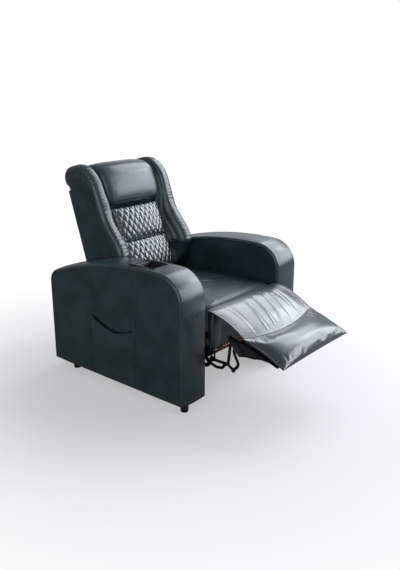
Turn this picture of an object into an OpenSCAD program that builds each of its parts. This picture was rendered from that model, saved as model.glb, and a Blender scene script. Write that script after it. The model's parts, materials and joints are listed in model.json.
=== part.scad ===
// Power recliner with a raised footrest, a reclining back and padded arms.
// Millimetres. +Z is up, the seat faces -Y and the sitter's left hand is on +X.
// Lengths along Y are counted back from the arms' front faces, and placed() then
// puts the origin under the middle of the whole chair, on the floor.

/* [Arms] */
// Clear width between the two arms
arm_gap = 548; // [520:1:580]
// Width of one arm
arm_w = 160; // [150:1:180]
// Depth of one arm, front to back
arm_d = 861; // [830:1:900]
// Height of the arm's highest point above the floor
arm_h = 625; // [600:1:650]
// Radius of the long arch along the arm's top
arch_r = 1780; // [1500:10:2200]
// Distance of the arch's highest point behind the arm's front
arch_y = 200; // [180:1:230]
// Radius of the arm's front upper corner
front_corner_r = 128; // [100:1:140]
// Radius of the arm's rear upper corner
rear_corner_r = 66; // [50:1:80]
// Thickness of the padded outer and inner side panels
panel_t = 20; // [18:1:24]
// Thickness of the padded band along the arm's edge
band_t = 14; // [10:1:20]
// Thickness of the wooden arm frame
arm_frame_t = 22; // [16:1:30]

/* [Feet] */
// Height of a foot, and of the arm's lower edge
foot_h = 50; // [40:1:60]
// Diameter of a foot at the top
foot_top_d = 42; // [36:1:50]
// Diameter of a foot at the floor
foot_floor_d = 34; // [28:1:40]
// Distance of the front feet behind the arm's front
foot_front_y = 38; // [34:1:60]
// Distance of the rear feet in front of the arm's rear
foot_rear_in = 102; // [71:1:160]

/* [Pocket] */
// Distance of the pocket's front seam behind the arm's front, at its mouth
pocket_y = 279; // [260:1:300]
// Width of the pocket
pocket_w = 286; // [260:1:300]
// Height of the pocket's lower edge above the floor
pocket_z = 58; // [56:1:140]
// Rearward lean of the pocket's seams from its mouth to its foot
pocket_lean = 10; // [0:1:20]
// Height of the mouth's lowest point above the floor
mouth_z = 291; // [260:1:310]
// Rise of the mouth at the pocket's front edge
mouth_front_rise = 34; // [20:1:45]
// Rise of the mouth at the pocket's rear edge
mouth_rear_rise = 52; // [30:1:65]
// Depth of the hollow behind the pocket
pocket_hollow = 11; // [8:0.5:14]
// Outward bulge of the pocket's leather
pocket_bulge = 7; // [5:0.5:9]
// Thickness of the pocket's leather
pocket_t = 2.4; // [2:0.1:3]

/* [Console tray] */
// Width of the tray's rim across the arm
tray_w = 112; // [100:1:116]
// Length of the tray's rim along the arm
tray_l = 144; // [130:1:160]
// Distance of the rim's front edge behind the arm's front
tray_y = 177; // [170:1:190]
// Depth of the deep well
tray_depth = 62; // [45:1:75]
// Depth of the narrow slot
slot_depth = 30; // [20:1:35]
// Length of the narrow slot along the arm
slot_l = 24; // [18:1:30]
// Wall thickness of the tray
tray_wall = 3; // [2.5:0.1:4]
// Width of the rim outside the tray's walls
tray_lip = 5; // [4:0.5:8]
// Thickness of the rim
tray_rim_t = 8; // [6:0.5:9]
// Depth of the shallow recess that the rim lies in
tray_sink = 4.5; // [4.2:0.1:5]

/* [Seat] */
// Clearance between the seat's sides and an arm
seat_clear = 8; // [6:0.5:10]
// Depth of the seat cushion
seat_d = 566; // [550:1:575]
// Height of the seat cushion's crest above the floor
seat_h = 453; // [445:1:460]
// Distance of the upholstered front behind the arm's front
front_y = 8; // [6:1:12]
// Thickness of the upholstered front panel
front_t = 10; // [8:1:12]
// Height of the front panel's lower edge above the floor
front_z = 252; // [245:1:258]
// Width of the padded roll at each end of the front
roll_w = 74; // [60:1:76]
// Depth of the padded roll
roll_d = 17; // [12:1:20]

/* [Base] */
// Thickness of the wooden side rails
rail_t = 32; // [24:1:36]
// Height of the side rails' upper edge above the floor
rail_top = 335; // [328:1:340]
// Height of the wooden front and side rails
rail_h = 83; // [70:1:84]
// Distance from the side rails' outer faces to an arm
rail_inset = 66; // [62:1:70]
// Distance of the middle beam behind the arm's front
beam_y = 400; // [390:1:420]
// Thickness of the two cross beams
beam_t = 26; // [22:1:30]
// Height of the cross beams' lower edges above the floor
beam_z = 112; // [90:1:120]
// Distance of the rear beam behind the arm's front
rear_beam_y = 772; // [765:1:800]
// Height of the perforated strip
strip_h = 41; // [36:1:44]
// Thickness of the perforated strip
strip_t = 2; // [1.5:0.1:2.5]
// Diameter of the strip's holes
strip_hole_d = 9; // [6:0.5:11]
// Spacing of the strip's holes
strip_pitch = 19; // [15:1:26]
// Number of sinuous springs under the seat
spring_count = 4; // [3:1:5]
// Width of one sinuous spring
spring_w = 44; // [34:1:50]
// Diameter of the spring wire
spring_wire = 3.6; // [3:0.1:4.5]

/* [Footrest] */
// Length of the footrest cushion
pad_l = 218; // [200:1:222]
// Clearance between the cushion's sides and an arm
pad_clear = 8; // [6:0.5:10]
// Distance of the cushion's rear seam in front of the arms, raised
pad_y = 191; // [185:1:198]
// Height of the cushion's rear seam, raised
pad_z = 365; // [362:1:368]
// Slope of the raised cushion
pad_slope = 19.5; // [18:0.5:21]
// Crown of the cushion above its seam
pad_crown = 32; // [24:1:38]
// Depth of the cushion and its board below the seam
pad_under = 22; // [20:1:23]
// Thickness of the board
board_t = 10; // [8:1:11]
// How far the rear seam is drawn in at the middle
pad_draw = 42; // [30:1:50]
// Thickness of the leather flap
flap_t = 2.6; // [2:0.1:3.5]
// Height of the flap's folds
flap_fold = 5; // [3:0.5:7]

/* [Footrest linkage] */
// Footrest swing centre: distance in front of the arms
pole_front = 86; // [84:0.5:88]
// Footrest swing centre: height
pole_z = 402; // [400:0.5:404]
// Long bar's fixed pivot: distance behind the arms' front
bar_pivot_y = 30; // [28:0.5:32]
// Long bar's fixed pivot: height
bar_pivot_z = 306; // [304:0.5:308]
// Long bar's joint with the upper link: distance in front of the arms
elbow_front = 101; // [99:0.5:103]
// Long bar's joint with the upper link: height
elbow_z = 222; // [220:0.5:224]
// Long bar's joint with the dog-leg link: distance in front of the arms
knee_front = 134; // [132:0.5:136]
// Long bar's joint with the dog-leg link: height
knee_z = 202; // [200:0.5:204]
// Upper link's joint with the curved link: distance in front of the arms
tail_front = 82; // [80:0.5:84]
// Upper link's joint with the curved link: height
tail_z = 212; // [210:0.5:214]
// Thickness of a link
link_t = 3; // [2.5:0.1:3.4]
// Distance between the layers of links
link_pitch = 4.2; // [4:0.1:4.4]
// Width of a link
link_w = 14; // [12:0.5:15]
// Diameter of the link pins
pin_d = 8; // [7:0.5:9]
// Radial running clearance of a pin in its hole
pin_clear = 0.06; // [0.04:0.01:0.08]
// Clearance between the outer layer of links and an arm
link_clear = 12; // [11:0.5:13]

/* [Back] */
// Lean of the raised back from upright
back_tilt = 17.3; // [15:0.1:20]
// Distance of the back's rear face behind the arms' front, at its foot
back_y = 732.7; // [728:0.1:740]
// Distance of the back's foot below the seat's crest
back_drop = 108; // [103:1:113]
// Clearance between the back's sides and an arm
back_clear = 9; // [7:0.5:12]
// Length of the back from its foot to its highest point
back_l = 648; // [630:1:660]
// Thickness of the back at mid height, wings included
back_depth = 198; // [190:1:206]
// Extra thickness of the wings at their lower ends
wing_flare = 55; // [40:1:60]
// Distance from the back's foot to the wings' lower ends
wing_foot = 60; // [56:1:90]
// Distance from the back's foot to the wings' shoulder, where they turn over the top
shoulder_l = 512; // [505:1:516]
// Radius of the roll at the back's upper rear edge
roll_r = 48; // [42:1:52]
// Distance from the back's foot to the notch below the roll
notch_l = 545; // [535:1:552]
// Half width of the lumbar cushions
lumbar_half = 157; // [150:1:162]
// Distance from the back's foot to the lower lumbar cushion
lumbar_foot = 60; // [55:1:70]
// Distance from the back's foot to the seam between the lumbar cushions
lumbar_mid = 235; // [225:1:245]
// Distance from the back's foot to the head cushion
head_foot = 409; // [400:1:420]
// Crown of the lumbar cushions
lumbar_crown = 24; // [16:1:30]
// Relief of the quilted diamonds
quilt_h = 5; // [3:0.5:6]
// Number of diamonds across a lumbar cushion
quilt_across = 9; // [7:1:11]
// Number of diamonds in the height of a lumbar cushion
quilt_rows = 3; // [2:1:4]
// Distance of the back's hinge behind the arms' front
hinge_y = 660; // [656:1:664]
// Height of the back's hinge
hinge_z = 350; // [346:1:352]
// Diameter of the back's hinge pin
hinge_pin_d = 12; // [10:1:14]
// Distance from the back's hinge to its cross tube
lever_l = 110; // [104:1:112]
// Angle of the lever behind straight down, back raised
lever_a = 19; // [17:0.5:21]

/* [Power drive] */
// Diameter of the cross tubes
tube_d = 20; // [16:1:22]
// Height of the footrest drive's cross tube
drive_z = 165; // [160:1:168]
// Distance of the footrest drive's cross tube behind the arms' front, raised
drive_y = 160; // [155:1:165]
// Length of the long bar's crank, from its fixed pivot to the driven pin
crank_l = 70; // [68:0.5:72]
// Width of the slot that the driven pin moves in
crank_slot = 11; // [10.6:0.1:12]
// Width of a motor
motor_w = 62; // [54:1:70]
// Length of a motor
motor_l = 60; // [50:1:64]

/* [Control panel] */
// Distance of the control panel behind the arm's front
control_y = 190; // [180:1:220]
// Height of the control panel's lower edge
control_z = 505; // [495:1:520]
// Length of the control panel
control_l = 92; // [86:1:100]
// Height of the control panel
control_h = 42; // [38:1:48]
// Thickness of the control panel
control_t = 4; // [3:0.5:5]
// Length of a rocker
rocker_l = 26; // [22:1:28]
// Height of a rocker
rocker_h = 28; // [24:1:30]

/* [Hidden] */
$fn = 48;
eps = 0.02;
// Clearance between a padded piece and what it lies on
seam_gap = 0.3;
arm_in = arm_gap / 2;
arm_out = arm_in + arm_w;
foot_rear_y = arm_d - foot_rear_in;
side_half = arm_in - seat_clear;
pad_half = arm_in - pad_clear;
back_half = arm_in - back_clear;
rail_out = arm_in - rail_inset;
rail_in = rail_out - rail_t;
front_rail_y = front_y + front_t + strip_t + seam_gap;
rail_rear_y = 600;
rear_panel_t = 8;
// Long arch of the arm's top, and the centres of its two corner rounds
arch_c = [arch_y, arm_h - arch_r];
front_c = [front_corner_r, arch_c.y
    + sqrt(pow(arch_r - front_corner_r, 2) - pow(front_corner_r - arch_y, 2))];
rear_c = [arm_d - rear_corner_r, arch_c.y
    + sqrt(pow(arch_r - rear_corner_r, 2) - pow(arm_d - rear_corner_r - arch_y, 2))];
back_z = seat_h - back_drop;
// Linkage points in the plane of Y and Z
pole = [-pole_front, pole_z];
bar_pivot = [bar_pivot_y, bar_pivot_z];
elbow = [-elbow_front, elbow_z];
knee = [-knee_front, knee_z];
tail = [-tail_front, tail_z];
// The driven pin swings evenly to both sides of straight down
crank = bar_pivot + crank_l * [cos(-125.25), sin(-125.25)];
// The bracket's and curved link's pivots close two parallelograms with the long bar
bracket_a = pole + elbow - bar_pivot;
bracket_b = pole + knee - bar_pivot;
curve_pivot = bar_pivot + tail - elbow;
hinge = [hinge_y, hinge_z];
// Extent of the chair from the raised footrest's tip to the back's roll
y_front = -(pad_y + pad_l * cos(pad_slope));
y_rear = back_y + (back_l - roll_r) * sin(back_tilt) + 13 * cos(back_tilt);
y_mid = (y_front + y_rear) / 2;
link_outer = arm_in - link_clear;
rocker_pin_d = 2.4;
// Inner face of the drive yokes, which pass between the front rolls and the links
yoke_x = link_outer - link_t - 4 * link_pitch - 4.8;

// Inner face of one layer of links: 0 is nearest the seat, 4 is nearest the arm.
function layer_x(k) = link_outer - link_t - (4 - k) * link_pitch;

// Points of an arc about c, from angle a0 to a1, both ends included.
function arc(c, r, a0, a1, n) =
    [for (i = [0:n]) c + r * [cos(a0 + (a1 - a0) * i / n), sin(a0 + (a1 - a0) * i / n)]];

// Smooth step from 0 to 1.
function ease(t) = let (u = min(1, max(0, t))) u * u * (3 - 2 * u);

// Outline of an arm seen from its side, drawn in by e.
function arm_outline(e) = let (
    a_rear = atan2(rear_c.y - arch_c.y, rear_c.x - arch_c.x),
    a_front = atan2(front_c.y - arch_c.y, front_c.x - arch_c.x),
    top = arc(arch_c, arch_r - e, a_rear, a_front, 14)
) concat(
    [[e, foot_h], [arm_d - e, foot_h]],
    arc(rear_c, rear_corner_r - e, 0, a_rear, 7),
    [for (i = [1:13]) top[i]],
    arc(front_c, front_corner_r - e, a_front, 180, 9)
);

// Moves everything so that the origin lies under the middle of the chair.
module placed() {
    translate([0, -y_mid, 0]) children();
}

// Draws a piece of the sitter's left side as it is, or mirrored for the right.
module side(s) {
    mirror([s < 0 ? 1 : 0, 0, 0]) children();
}

// Extrudes a shape drawn in Y and Z from x0 to x0 + t.
module plate_yz(x0, t) {
    translate([x0, 0, 0]) rotate([90, 0, 90]) linear_extrude(height = t) children();
}

// Round bar along X from x0 to x1 about a point of the YZ plane.
module bar_x(p, d, x0, x1) {
    translate([x0, p.x, p.y]) rotate([0, 90, 0]) cylinder(d = d, h = x1 - x0);
}

// Points of a path with its corners rounded to about radius r.
function eased(points, r) = let (last = len(points) - 1) concat(
    [points[0]],
    [for (i = [1:1:last - 1]) let (
        b = points[i],
        u = (points[i - 1] - b) / norm(points[i - 1] - b),
        v = (points[i + 1] - b) / norm(points[i + 1] - b),
        leg = min(r / tan(acos(u * v) / 2), 0.45 * norm(points[i - 1] - b),
            0.45 * norm(points[i + 1] - b))
    ) each [for (t = [0:0.25:1]) (1 - t) * (1 - t) * (b + u * leg) + 2 * t * (1 - t) * b
        + t * t * (b + v * leg)]],
    [points[last]]
);

// Flat bar through a list of points, with a round eye at each end.
module strip_2d(points, w, eye) {
    path = eased(points, 22);
    last = len(path) - 1;
    function at(i, d) = let (q = path[min(last, i + 1)] - path[max(0, i - 1)])
        path[i] + d * [-q.y, q.x] / norm(q);
    polygon(concat([for (i = [0:last]) at(i, w / 2)], [for (i = [last:-1:0]) at(i, -w / 2)]));
    for (p = [path[0], path[last]]) translate(p) circle(d = eye);
}

// Depth of the back's frame before the back's rear face
frame_face = 96;

// Frame of the back: origin at its foot, +Z up along its rear face, +Y rearwards.
module back_placed() {
    placed() translate([0, back_y, back_z]) rotate([-back_tilt, 0, 0]) children();
}

// Frame of the raised footrest: origin at its rear seam, -Y forwards along it.
module pad_placed() {
    placed() translate([0, -pad_y, pad_z]) rotate([pad_slope, 0, 0]) children();
}

// Solid between a curved front, given as rows of points along +X, and a flat back.
// The rows follow one another along an axis such that X cross that axis points out.
// flat(p, j) is the point behind rim point p of row j.
module puffed(rows, flat) {
    n = len(rows);
    m = len(rows[0]);
    rim = concat(
        [for (i = [0:m - 2]) [0, i]],
        [for (j = [0:n - 2]) [j, m - 1]],
        [for (i = [m - 1:-1:1]) [n - 1, i]],
        [for (j = [n - 1:-1:1]) [j, 0]]
    );
    k = len(rim);
    function at(r) = r[0] * m + r[1];
    points = concat([for (row = rows) each row],
        [for (r = rim) flat(rows[r[0]][r[1]], r[0])]);
    front = [for (j = [0:n - 2], i = [0:m - 2]) let (a = j * m + i)
        each [[a, a + m, a + m + 1], [a, a + m + 1, a + 1]]];
    walls = [for (q = [0:k - 1]) let (r = (q + 1) % k)
        each [[at(rim[q]), at(rim[r]), n * m + r], [at(rim[q]), n * m + r, n * m + q]]];
    // Back: strips between the first and last rows, and a fan along each side
    f = n * m;
    e = f + 2 * (m - 1) + n - 1;
    strips = [for (i = [1:m - 3])
        each [[f + i, f + i + 1, e - i - 1], [f + i, e - i - 1, e - i]]];
    fan_a = [for (q = [e - 1:f + k - 1]) [f + 1, q, q + 1 < f + k ? q + 1 : f]];
    fan_b = [for (q = [f + m - 1:e - m + 1]) [f + m - 2, q, q + 1]];
    polyhedron(points, concat(front, walls, strips, fan_a, fan_b), convexity = 4);
}

// Solid through rings of points that follow one another along the axis about which
// they run counter-clockwise. A ring goes out along one face and back along the other.
module lofted(rings) {
    n = len(rings[0]);
    m = len(rings);
    walls = [for (i = [0:m - 2], j = [0:n - 1]) let (a = i * n + j, b = i * n + (j + 1) % n)
        each [[a, a + n, b + n], [a, b + n, b]]];
    first = [for (j = [0:n / 2 - 2]) each [[j, j + 1, n - 2 - j], [j, n - 2 - j, n - 1 - j]]];
    e = (m - 1) * n;
    last = [for (f = first) [e + f[2], e + f[1], e + f[0]]];
    polyhedron([for (r = rings) each r], concat(walls, first, last), convexity = 6);
}

// Arms

// Wooden frame inside an arm, hidden by the panels and the band.
module arm_frame(tray) {
    x0 = arm_in + panel_t;
    w = arm_w - 2 * panel_t;
    placed() difference() {
        plate_yz(x0, w) difference() {
            polygon(arm_outline(band_t));
            polygon([for (p = arm_outline(band_t + arm_frame_t))
                [p.x, p.y == foot_h ? foot_h + 2 * arm_frame_t : p.y]]);
        }
        if (tray) tray_cut();
    }
}

// Hole through the arm's top that the tray's walls drop into.
module tray_cut() {
    c = tray_lip - 0.5;
    translate([tray_mid_x() - tray_w / 2 + c, tray_y + c, arm_h - tray_depth - 2])
        cube([tray_w - 2 * c, tray_l - 2 * c, tray_depth + 60]);
    translate([tray_mid_x() - tray_w / 2 - 0.5, tray_y - 0.5, arm_h - tray_sink])
        cube([tray_w + 1, tray_l + 1, 60]);
}

function tray_mid_x() = arm_in + arm_w / 2 + 1;

// Padded side panel with a hollow for the pocket where it has one.
module side_panel(x0, hollow) {
    placed() difference() {
        plate_yz(x0, panel_t) polygon(arm_outline(0));
        if (hollow) plate_yz(x0 + panel_t - pocket_hollow, pocket_hollow + 1)
            polygon(pocket_outline(8, 14));
    }
}

// Height of the pocket's mouth a share t of the way from its front to its rear edge.
function mouth(t) = mouth_z + mouth_front_rise * pow(max(0, 1 - t / 0.45), 1.6)
    + mouth_rear_rise * pow(max(0, (t - 0.45) / 0.55), 1.6);

// Distance behind the arm's front of a point in the pocket, at height z.
function pocket_at(t, z) = pocket_y + pocket_w * t + pocket_lean * (mouth_z - z) / mouth_z;

// Pocket's outline drawn in by e at the seams and raised by up at its mouth.
function pocket_outline(e, up) = concat(
    [[pocket_at(0, pocket_z) + e, pocket_z + e + 30], [pocket_at(1, pocket_z) - e, pocket_z + e + 30]],
    [for (i = [12:-1:0]) let (t = i / 12)
        [pocket_at(t, mouth(t)) + e * (1 - 2 * t), mouth(t) + up]]
);

module arm_band(tray) {
    x0 = arm_in + panel_t;
    placed() difference() {
        plate_yz(x0, arm_w - 2 * panel_t) difference() {
            polygon(arm_outline(0));
            polygon([for (p = arm_outline(band_t)) [p.x, p.y == foot_h ? foot_h - 1 : p.y]]);
        }
        if (tray) tray_cut();
    }
}

module foot(y) {
    placed() translate([arm_in + arm_w / 2 + 23, y, 0]) {
        cylinder(d1 = foot_floor_d, d2 = foot_top_d, h = foot_h - 4);
        translate([0, 0, foot_h - 4 - eps]) cylinder(d = foot_top_d + 8, h = 4 + eps);
    }
}

module arm_frame_right() { color("tan") side(-1) arm_frame(true); }
module arm_frame_left() { color("tan") side(1) arm_frame(false); }
module outer_panel_right() { color("#25302f") side(-1) side_panel(arm_out - panel_t, true); }
module outer_panel_left() { color("#25302f") side(1) side_panel(arm_out - panel_t, false); }
module inner_panel_right() { color("#25302f") side(-1) side_panel(arm_in, false); }
module inner_panel_left() { color("#25302f") side(1) side_panel(arm_in, false); }
module arm_band_right() { color("#2b3836") side(-1) arm_band(true); }
module arm_band_left() { color("#2b3836") side(1) arm_band(false); }
module foot_front_right() { color("#161616") side(-1) foot(foot_front_y); }
module foot_front_left() { color("#161616") side(1) foot(foot_front_y); }
module foot_rear_right() { color("#161616") side(-1) foot(foot_rear_y); }
module foot_rear_left() { color("#161616") side(1) foot(foot_rear_y); }

// Leather front of the pocket: sewn down at its sides and foot, bulging at its mouth.
module arm_pocket() {
    rows = 7;
    cols = 12;
    function out(u, v) = pocket_t + pocket_bulge * pow(sin(180 * u), 0.8) * ease(v * 1.15);
    function p(u, v, d) = let (z = pocket_z + (mouth(u) - pocket_z) * v)
        [arm_out + d, pocket_at(u, z), z];
    color("#2b3836") side(-1) placed() lofted([for (j = [0:rows]) let (v = j / rows) concat(
        [for (i = [0:cols]) p(i / cols, v, out(i / cols, v))],
        [for (i = [cols:-1:0]) p(i / cols, v, out(i / cols, v) - pocket_t + eps)]
    )]);
}

// Console tray with a deep well in front and a narrow slot behind it.
module console_tray() {
    x0 = tray_mid_x() - tray_w / 2;
    in_w = tray_w - 2 * (tray_lip + tray_wall);
    in_y = tray_y + tray_lip + tray_wall;
    in_l = tray_l - 2 * (tray_lip + tray_wall);
    well_l = in_l - slot_l - tray_wall;
    color("#141516") side(-1) placed() difference() {
        union() {
            translate([x0, tray_y, arm_h - tray_sink]) cube([tray_w, tray_l, tray_rim_t]);
            translate([x0 + tray_lip, tray_y + tray_lip, arm_h - tray_depth])
                cube([tray_w - 2 * tray_lip, tray_l - 2 * tray_lip, tray_depth - tray_sink + eps]);
        }
        translate([x0 + tray_lip + tray_wall, in_y, arm_h - tray_depth + tray_wall])
            cube([in_w, well_l, tray_depth + 10]);
        translate([x0 + tray_lip + tray_wall, in_y + well_l + tray_wall, arm_h - slot_depth])
            cube([in_w, slot_l, slot_depth + 10]);
    }
}

// Base between the arms

// Side rail, cut away behind the seat so that the back's cross tube passes over it.
module side_rail() {
    placed() plate_yz(rail_in, rail_t) polygon([
        [front_rail_y, rail_top - rail_h], [beam_y - 20, rail_top - rail_h],
        [beam_y - 20, 180], [rear_beam_y, 180], [rear_beam_y, 225], [rail_rear_y, 225],
        [rail_rear_y, rail_top], [front_rail_y, rail_top]
    ]);
}

module side_rail_right() { color("tan") side(-1) side_rail(); }
module side_rail_left() { color("tan") side(1) side_rail(); }

module front_rail() {
    color("tan") placed() translate([-rail_in, front_rail_y, rail_top - rail_h])
        cube([2 * rail_in, 22, rail_h]);
}

// Middle beam and rear beam between the arms, and the cross rail behind the springs.
module cross_beams() {
    color("tan") placed() {
        difference() {
            translate([-arm_in, beam_y, beam_z]) cube([2 * arm_in, beam_t, 235 - beam_z]);
            for (s = [-1, 1]) translate([s * (rail_in + rail_t / 2) - rail_t / 2 - 0.2,
                beam_y - 1, 180 - 0.2]) cube([rail_t + 0.4, beam_t + 2, 60]);
        }
        translate([-arm_in, rear_beam_y, beam_z]) cube([2 * arm_in, beam_t, 225 - beam_z]);
        translate([-rail_in, rail_rear_y - 24, rail_top - 36]) cube([2 * rail_in, 22, 36]);
    }
}

// Leather-covered panel that closes the base behind the rear beam.
module rear_panel() {
    low = foot_h + 12;
    color("#25302f") placed() translate([-side_half, rear_beam_y + beam_t, low])
        cube([2 * side_half, rear_panel_t, rail_top - 10 - low]);
}

// Steel strip with a row of holes, screwed under the upholstered front.
module front_strip() {
    half = rail_out + 26;
    count = floor((2 * half - 24) / strip_pitch);
    top = rail_top - rail_h + 6;
    color("#6b4636") placed() difference() {
        translate([-half, front_rail_y - strip_t, top - strip_h])
            cube([2 * half, strip_t, strip_h]);
        for (i = [0:count]) translate([(i - count / 2) * strip_pitch, front_rail_y - strip_t - 1,
            top - strip_h * 0.6]) rotate([-90, 0, 0]) cylinder(d = strip_hole_d, h = strip_t + 2);
    }
}

// Steel plate on a side rail that carries the linkage and the back's hinge.
module mechanism_plate() {
    post_d = pin_d + 6;
    placed() {
        plate_yz(rail_out, link_t) {
            strip_2d([bar_pivot, curve_pivot], 18, 22);
            polygon([bar_pivot + [0, -9], curve_pivot + [60, -30], [hinge_y - 80, 262],
                hinge + [-14, -18], hinge + [4, 12], [hinge_y - 90, 318], bar_pivot + [8, 12]]);
            translate(hinge) circle(d = 34);
        }
        bar_x(bar_pivot, post_d, rail_out + link_t - eps, layer_x(2) - 0.25);
        bar_x(bar_pivot, pin_d, layer_x(2) - 0.3, layer_x(3) - 0.9);
        bar_x(bar_pivot, post_d, layer_x(3) - 0.9, layer_x(3) + 1.2);
        bar_x(curve_pivot, post_d, rail_out + link_t - eps, layer_x(0) - 0.25);
        bar_x(curve_pivot, pin_d, layer_x(0) - 0.3, layer_x(0) + link_t + 0.5);
        bar_x(hinge, hinge_pin_d, rail_out + link_t - eps, rail_out + link_t + 8);
    }
}

module mechanism_plate_right() { color("#1b1c1e") side(-1) mechanism_plate(); }
module mechanism_plate_left() { color("#1b1c1e") side(1) mechanism_plate(); }

// Sinuous springs from the front rail to the cross rail behind them.
module seat_springs() {
    y0 = front_rail_y + 4;
    y1 = rail_rear_y - 6;
    waves = 9;
    steps = waves * 6;
    function wave(i) = [spring_w / 2 * sin(360 * i / 6), y0 + (y1 - y0) * i / steps];
    function bent(i, d) = let (t = wave(i + 0.2) - wave(i - 0.2), q = t / norm(t))
        wave(i) + d / 2 * [-q.y, q.x];
    color("silver") placed() for (k = [0:spring_count - 1])
        translate([(k - (spring_count - 1) / 2) * 2 * rail_in / spring_count, 0, rail_top])
            linear_extrude(height = spring_wire) polygon(concat(
                [for (i = [0:steps]) bent(i, -spring_wire)],
                [for (i = [steps:-1:0]) bent(i, spring_wire)]));
}

// Seat cushion: crowned, drawn in at its sides, with a lip that rolls over the front.
module seat_cushion() {
    cols = 20;
    z0 = rail_top + spring_wire;
    y0 = front_y + front_t + 2;
    function bow(u) = 1 - pow(abs(2 * u - 1), 5);
    function fall(u) = 13 * pow(abs(2 * u - 1), 8);
    function x(u) = side_half * (2 * u - 1);
    function top(u, v) = seat_h - 5 - 12 * v + (5 + 7 * sin(180 * v)) * bow(u) - fall(u);
    function line(y, z, rise) = [for (u = [0:1 / cols:1.001]) [x(u), y, z + rise * bow(u) - fall(u)]];
    body = [for (v = [0:1 / 14:1.001]) [for (u = [0:1 / cols:1.001])
        [x(u), 13 + (y0 + seat_d - 13) * v - 4 * pow(abs(2 * u - 1), 6) * v, top(u, v)]]];
    color("#2b3836") placed() puffed(concat(
        [[for (u = [0:1 / cols:1.001]) [x(u), y0, seat_h - 36]]],
        [line(4, seat_h - 17, 2), line(3.5, seat_h - 11, 5)], body),
        function (p, j) [p.x, max(p.y, y0 + 2 * j), z0]);
}

// Upholstered front below the seat's lip, flat between its two padded rolls.
module front_panel() {
    color("#1d2525") placed() translate([-rail_out - 28, front_y, front_z])
        cube([2 * (rail_out + 28), front_t, seat_h - 38 - front_z]);
}

// Padded roll at one end of the front: a half round that closes in at both ends.
module front_roll() {
    x_mid = rail_out + 28 - roll_w / 2;
    z0 = front_z + 3;
    z1 = seat_h - 36;
    function wide(t) = 0.32 + 0.68 * pow(sin(180 * (0.06 + 0.88 * t)), 0.55);
    color("#25302f") placed() lofted([for (t = [0:1 / 9:1.001]) let (
        w = roll_w / 2 * wide(t), d = roll_d * pow(wide(t), 1.5)
    ) concat(
        [for (a = [180:20:360]) [x_mid + w * cos(a), front_y - eps * 10 + d * sin(a) * 0.999,
            z0 + (z1 - z0) * t]],
        [for (i = [9:-1:0]) [x_mid + w * cos(180 + 20 * i), front_y, z0 + (z1 - z0) * t]]
    )]);
}

module front_roll_right() { side(-1) front_roll(); }
module front_roll_left() { side(1) front_roll(); }

// Leather flap between the seat's lip and the footrest, with its long folds.
module seat_flap() {
    rows = 9;
    cols = 24;
    half = pad_half - 4;
    start = [3.1, seat_h - 5];
    // The flap's end follows the cushion's drawn-in rear seam
    function edge(u) = pad_draw * (1 - pow(2 * u - 1, 2));
    function end(u) = [-pad_y - edge(u) * cos(pad_slope) + 0.5, pad_z - edge(u) * sin(pad_slope)];
    function y(u, v) = start.x + (end(u).x - start.x) * v;
    function bow(u) = 1 - pow(abs(2 * u - 1), 5);
    function fold(u, v) = flap_fold * sin(180 * v)
        * (sin(360 * 2.5 * u + 60 * v) * sin(180 * u) + 0.6 * sin(360 * 4 * u));
    function z(u, v) = start.y - 5 * (1 - bow(u)) * (1 - v) + (end(u).y - start.y) * pow(v, 1.7)
        + 9 * sin(180 * u) * sin(180 * v) + fold(u, v);
    color("#3a4a48") placed() lofted([for (i = [0:cols]) let (u = i / cols) concat(
        [for (j = [rows:-1:0]) [half * (2 * u - 1), y(u, j / rows), z(u, j / rows)]],
        [for (j = [0:rows]) [half * (2 * u - 1), y(u, j / rows), z(u, j / rows) + flap_t]]
    )]);
}

// Footrest

// Space of the board in the cushion's underside, grown by c all round.
module board_space(c) {
    translate([-pad_half + 16 - c, -pad_l + 14 - c, -pad_under - c])
        cube([2 * pad_half - 32 + 2 * c, pad_l - 28 - pad_draw + 2 * c, board_t + 2 * c]);
}

module footrest_board() {
    color("tan") pad_placed() board_space(0);
}

// Footrest cushion: a crowned pillow with pointed corners and a drawn-in rear seam.
module footrest_pad() {
    cols = 20;
    rows = 12;
    function rear(u) = -pad_draw * (1 - pow(2 * u - 1, 2));
    function front(u) = -pad_l + 8 * (1 - pow(2 * u - 1, 2)) * 0.4;
    function x(u, v) = (2 * u - 1) * (pad_half - 5 * sin(180 * v));
    function crown(u, v) = pad_crown * pow(sin(180 * u), 0.6) * pow(sin(180 * v), 0.62);
    color("#2b3836") pad_placed() difference() {
        puffed([for (j = [0:rows]) let (v = j / rows)
            [for (i = [0:cols]) let (u = i / cols)
                [x(u, v), front(u) + (rear(u) - front(u)) * v, crown(u, v)]]],
            function (p, j) [p.x * 0.985, -pad_l / 2 + (p.y + pad_l / 2) * 0.97, -pad_under]);
        board_space(0.3);
    }
}

// Bracket under the board: a flange on the board and a web beside the links.
module footrest_bracket() {
    x0 = layer_x(4);
    foot_y = [for (s = [-pad_l + 30, -40])
        [-pad_y + s * cos(pad_slope) + (pad_under + 1) * sin(pad_slope),
            pad_z + s * sin(pad_slope) - (pad_under + 1) * cos(pad_slope)]];
    difference() {
        union() {
            pad_placed() translate([x0 - 24, -pad_l + 30, -pad_under - link_t])
                cube([24 + link_t, pad_l - 70, link_t]);
            placed() plate_yz(x0, link_t) {
                polygon(concat([foot_y[1]],
                    [for (d = [[99, 44], [111, 36], [109, 24], [77, -18], [49, -41], [12, -33]])
                        bracket_a + d],
                    [bracket_b + [6, -11], bracket_b + [-9, -7], foot_y[0] + [80, 14],
                        foot_y[0] + [40, 12]]));
                translate(bracket_b) circle(r = link_w / 2 + 3);
            }
            placed() for (p = [bracket_a, bracket_b])
                bar_x(p, pin_d + 5, x0 + link_t - eps, x0 + link_t + 2.2);
        }
        placed() bar_x(bracket_a + [29, -10], 7, x0 - 1, x0 + link_t + 1);
    }
}

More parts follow.
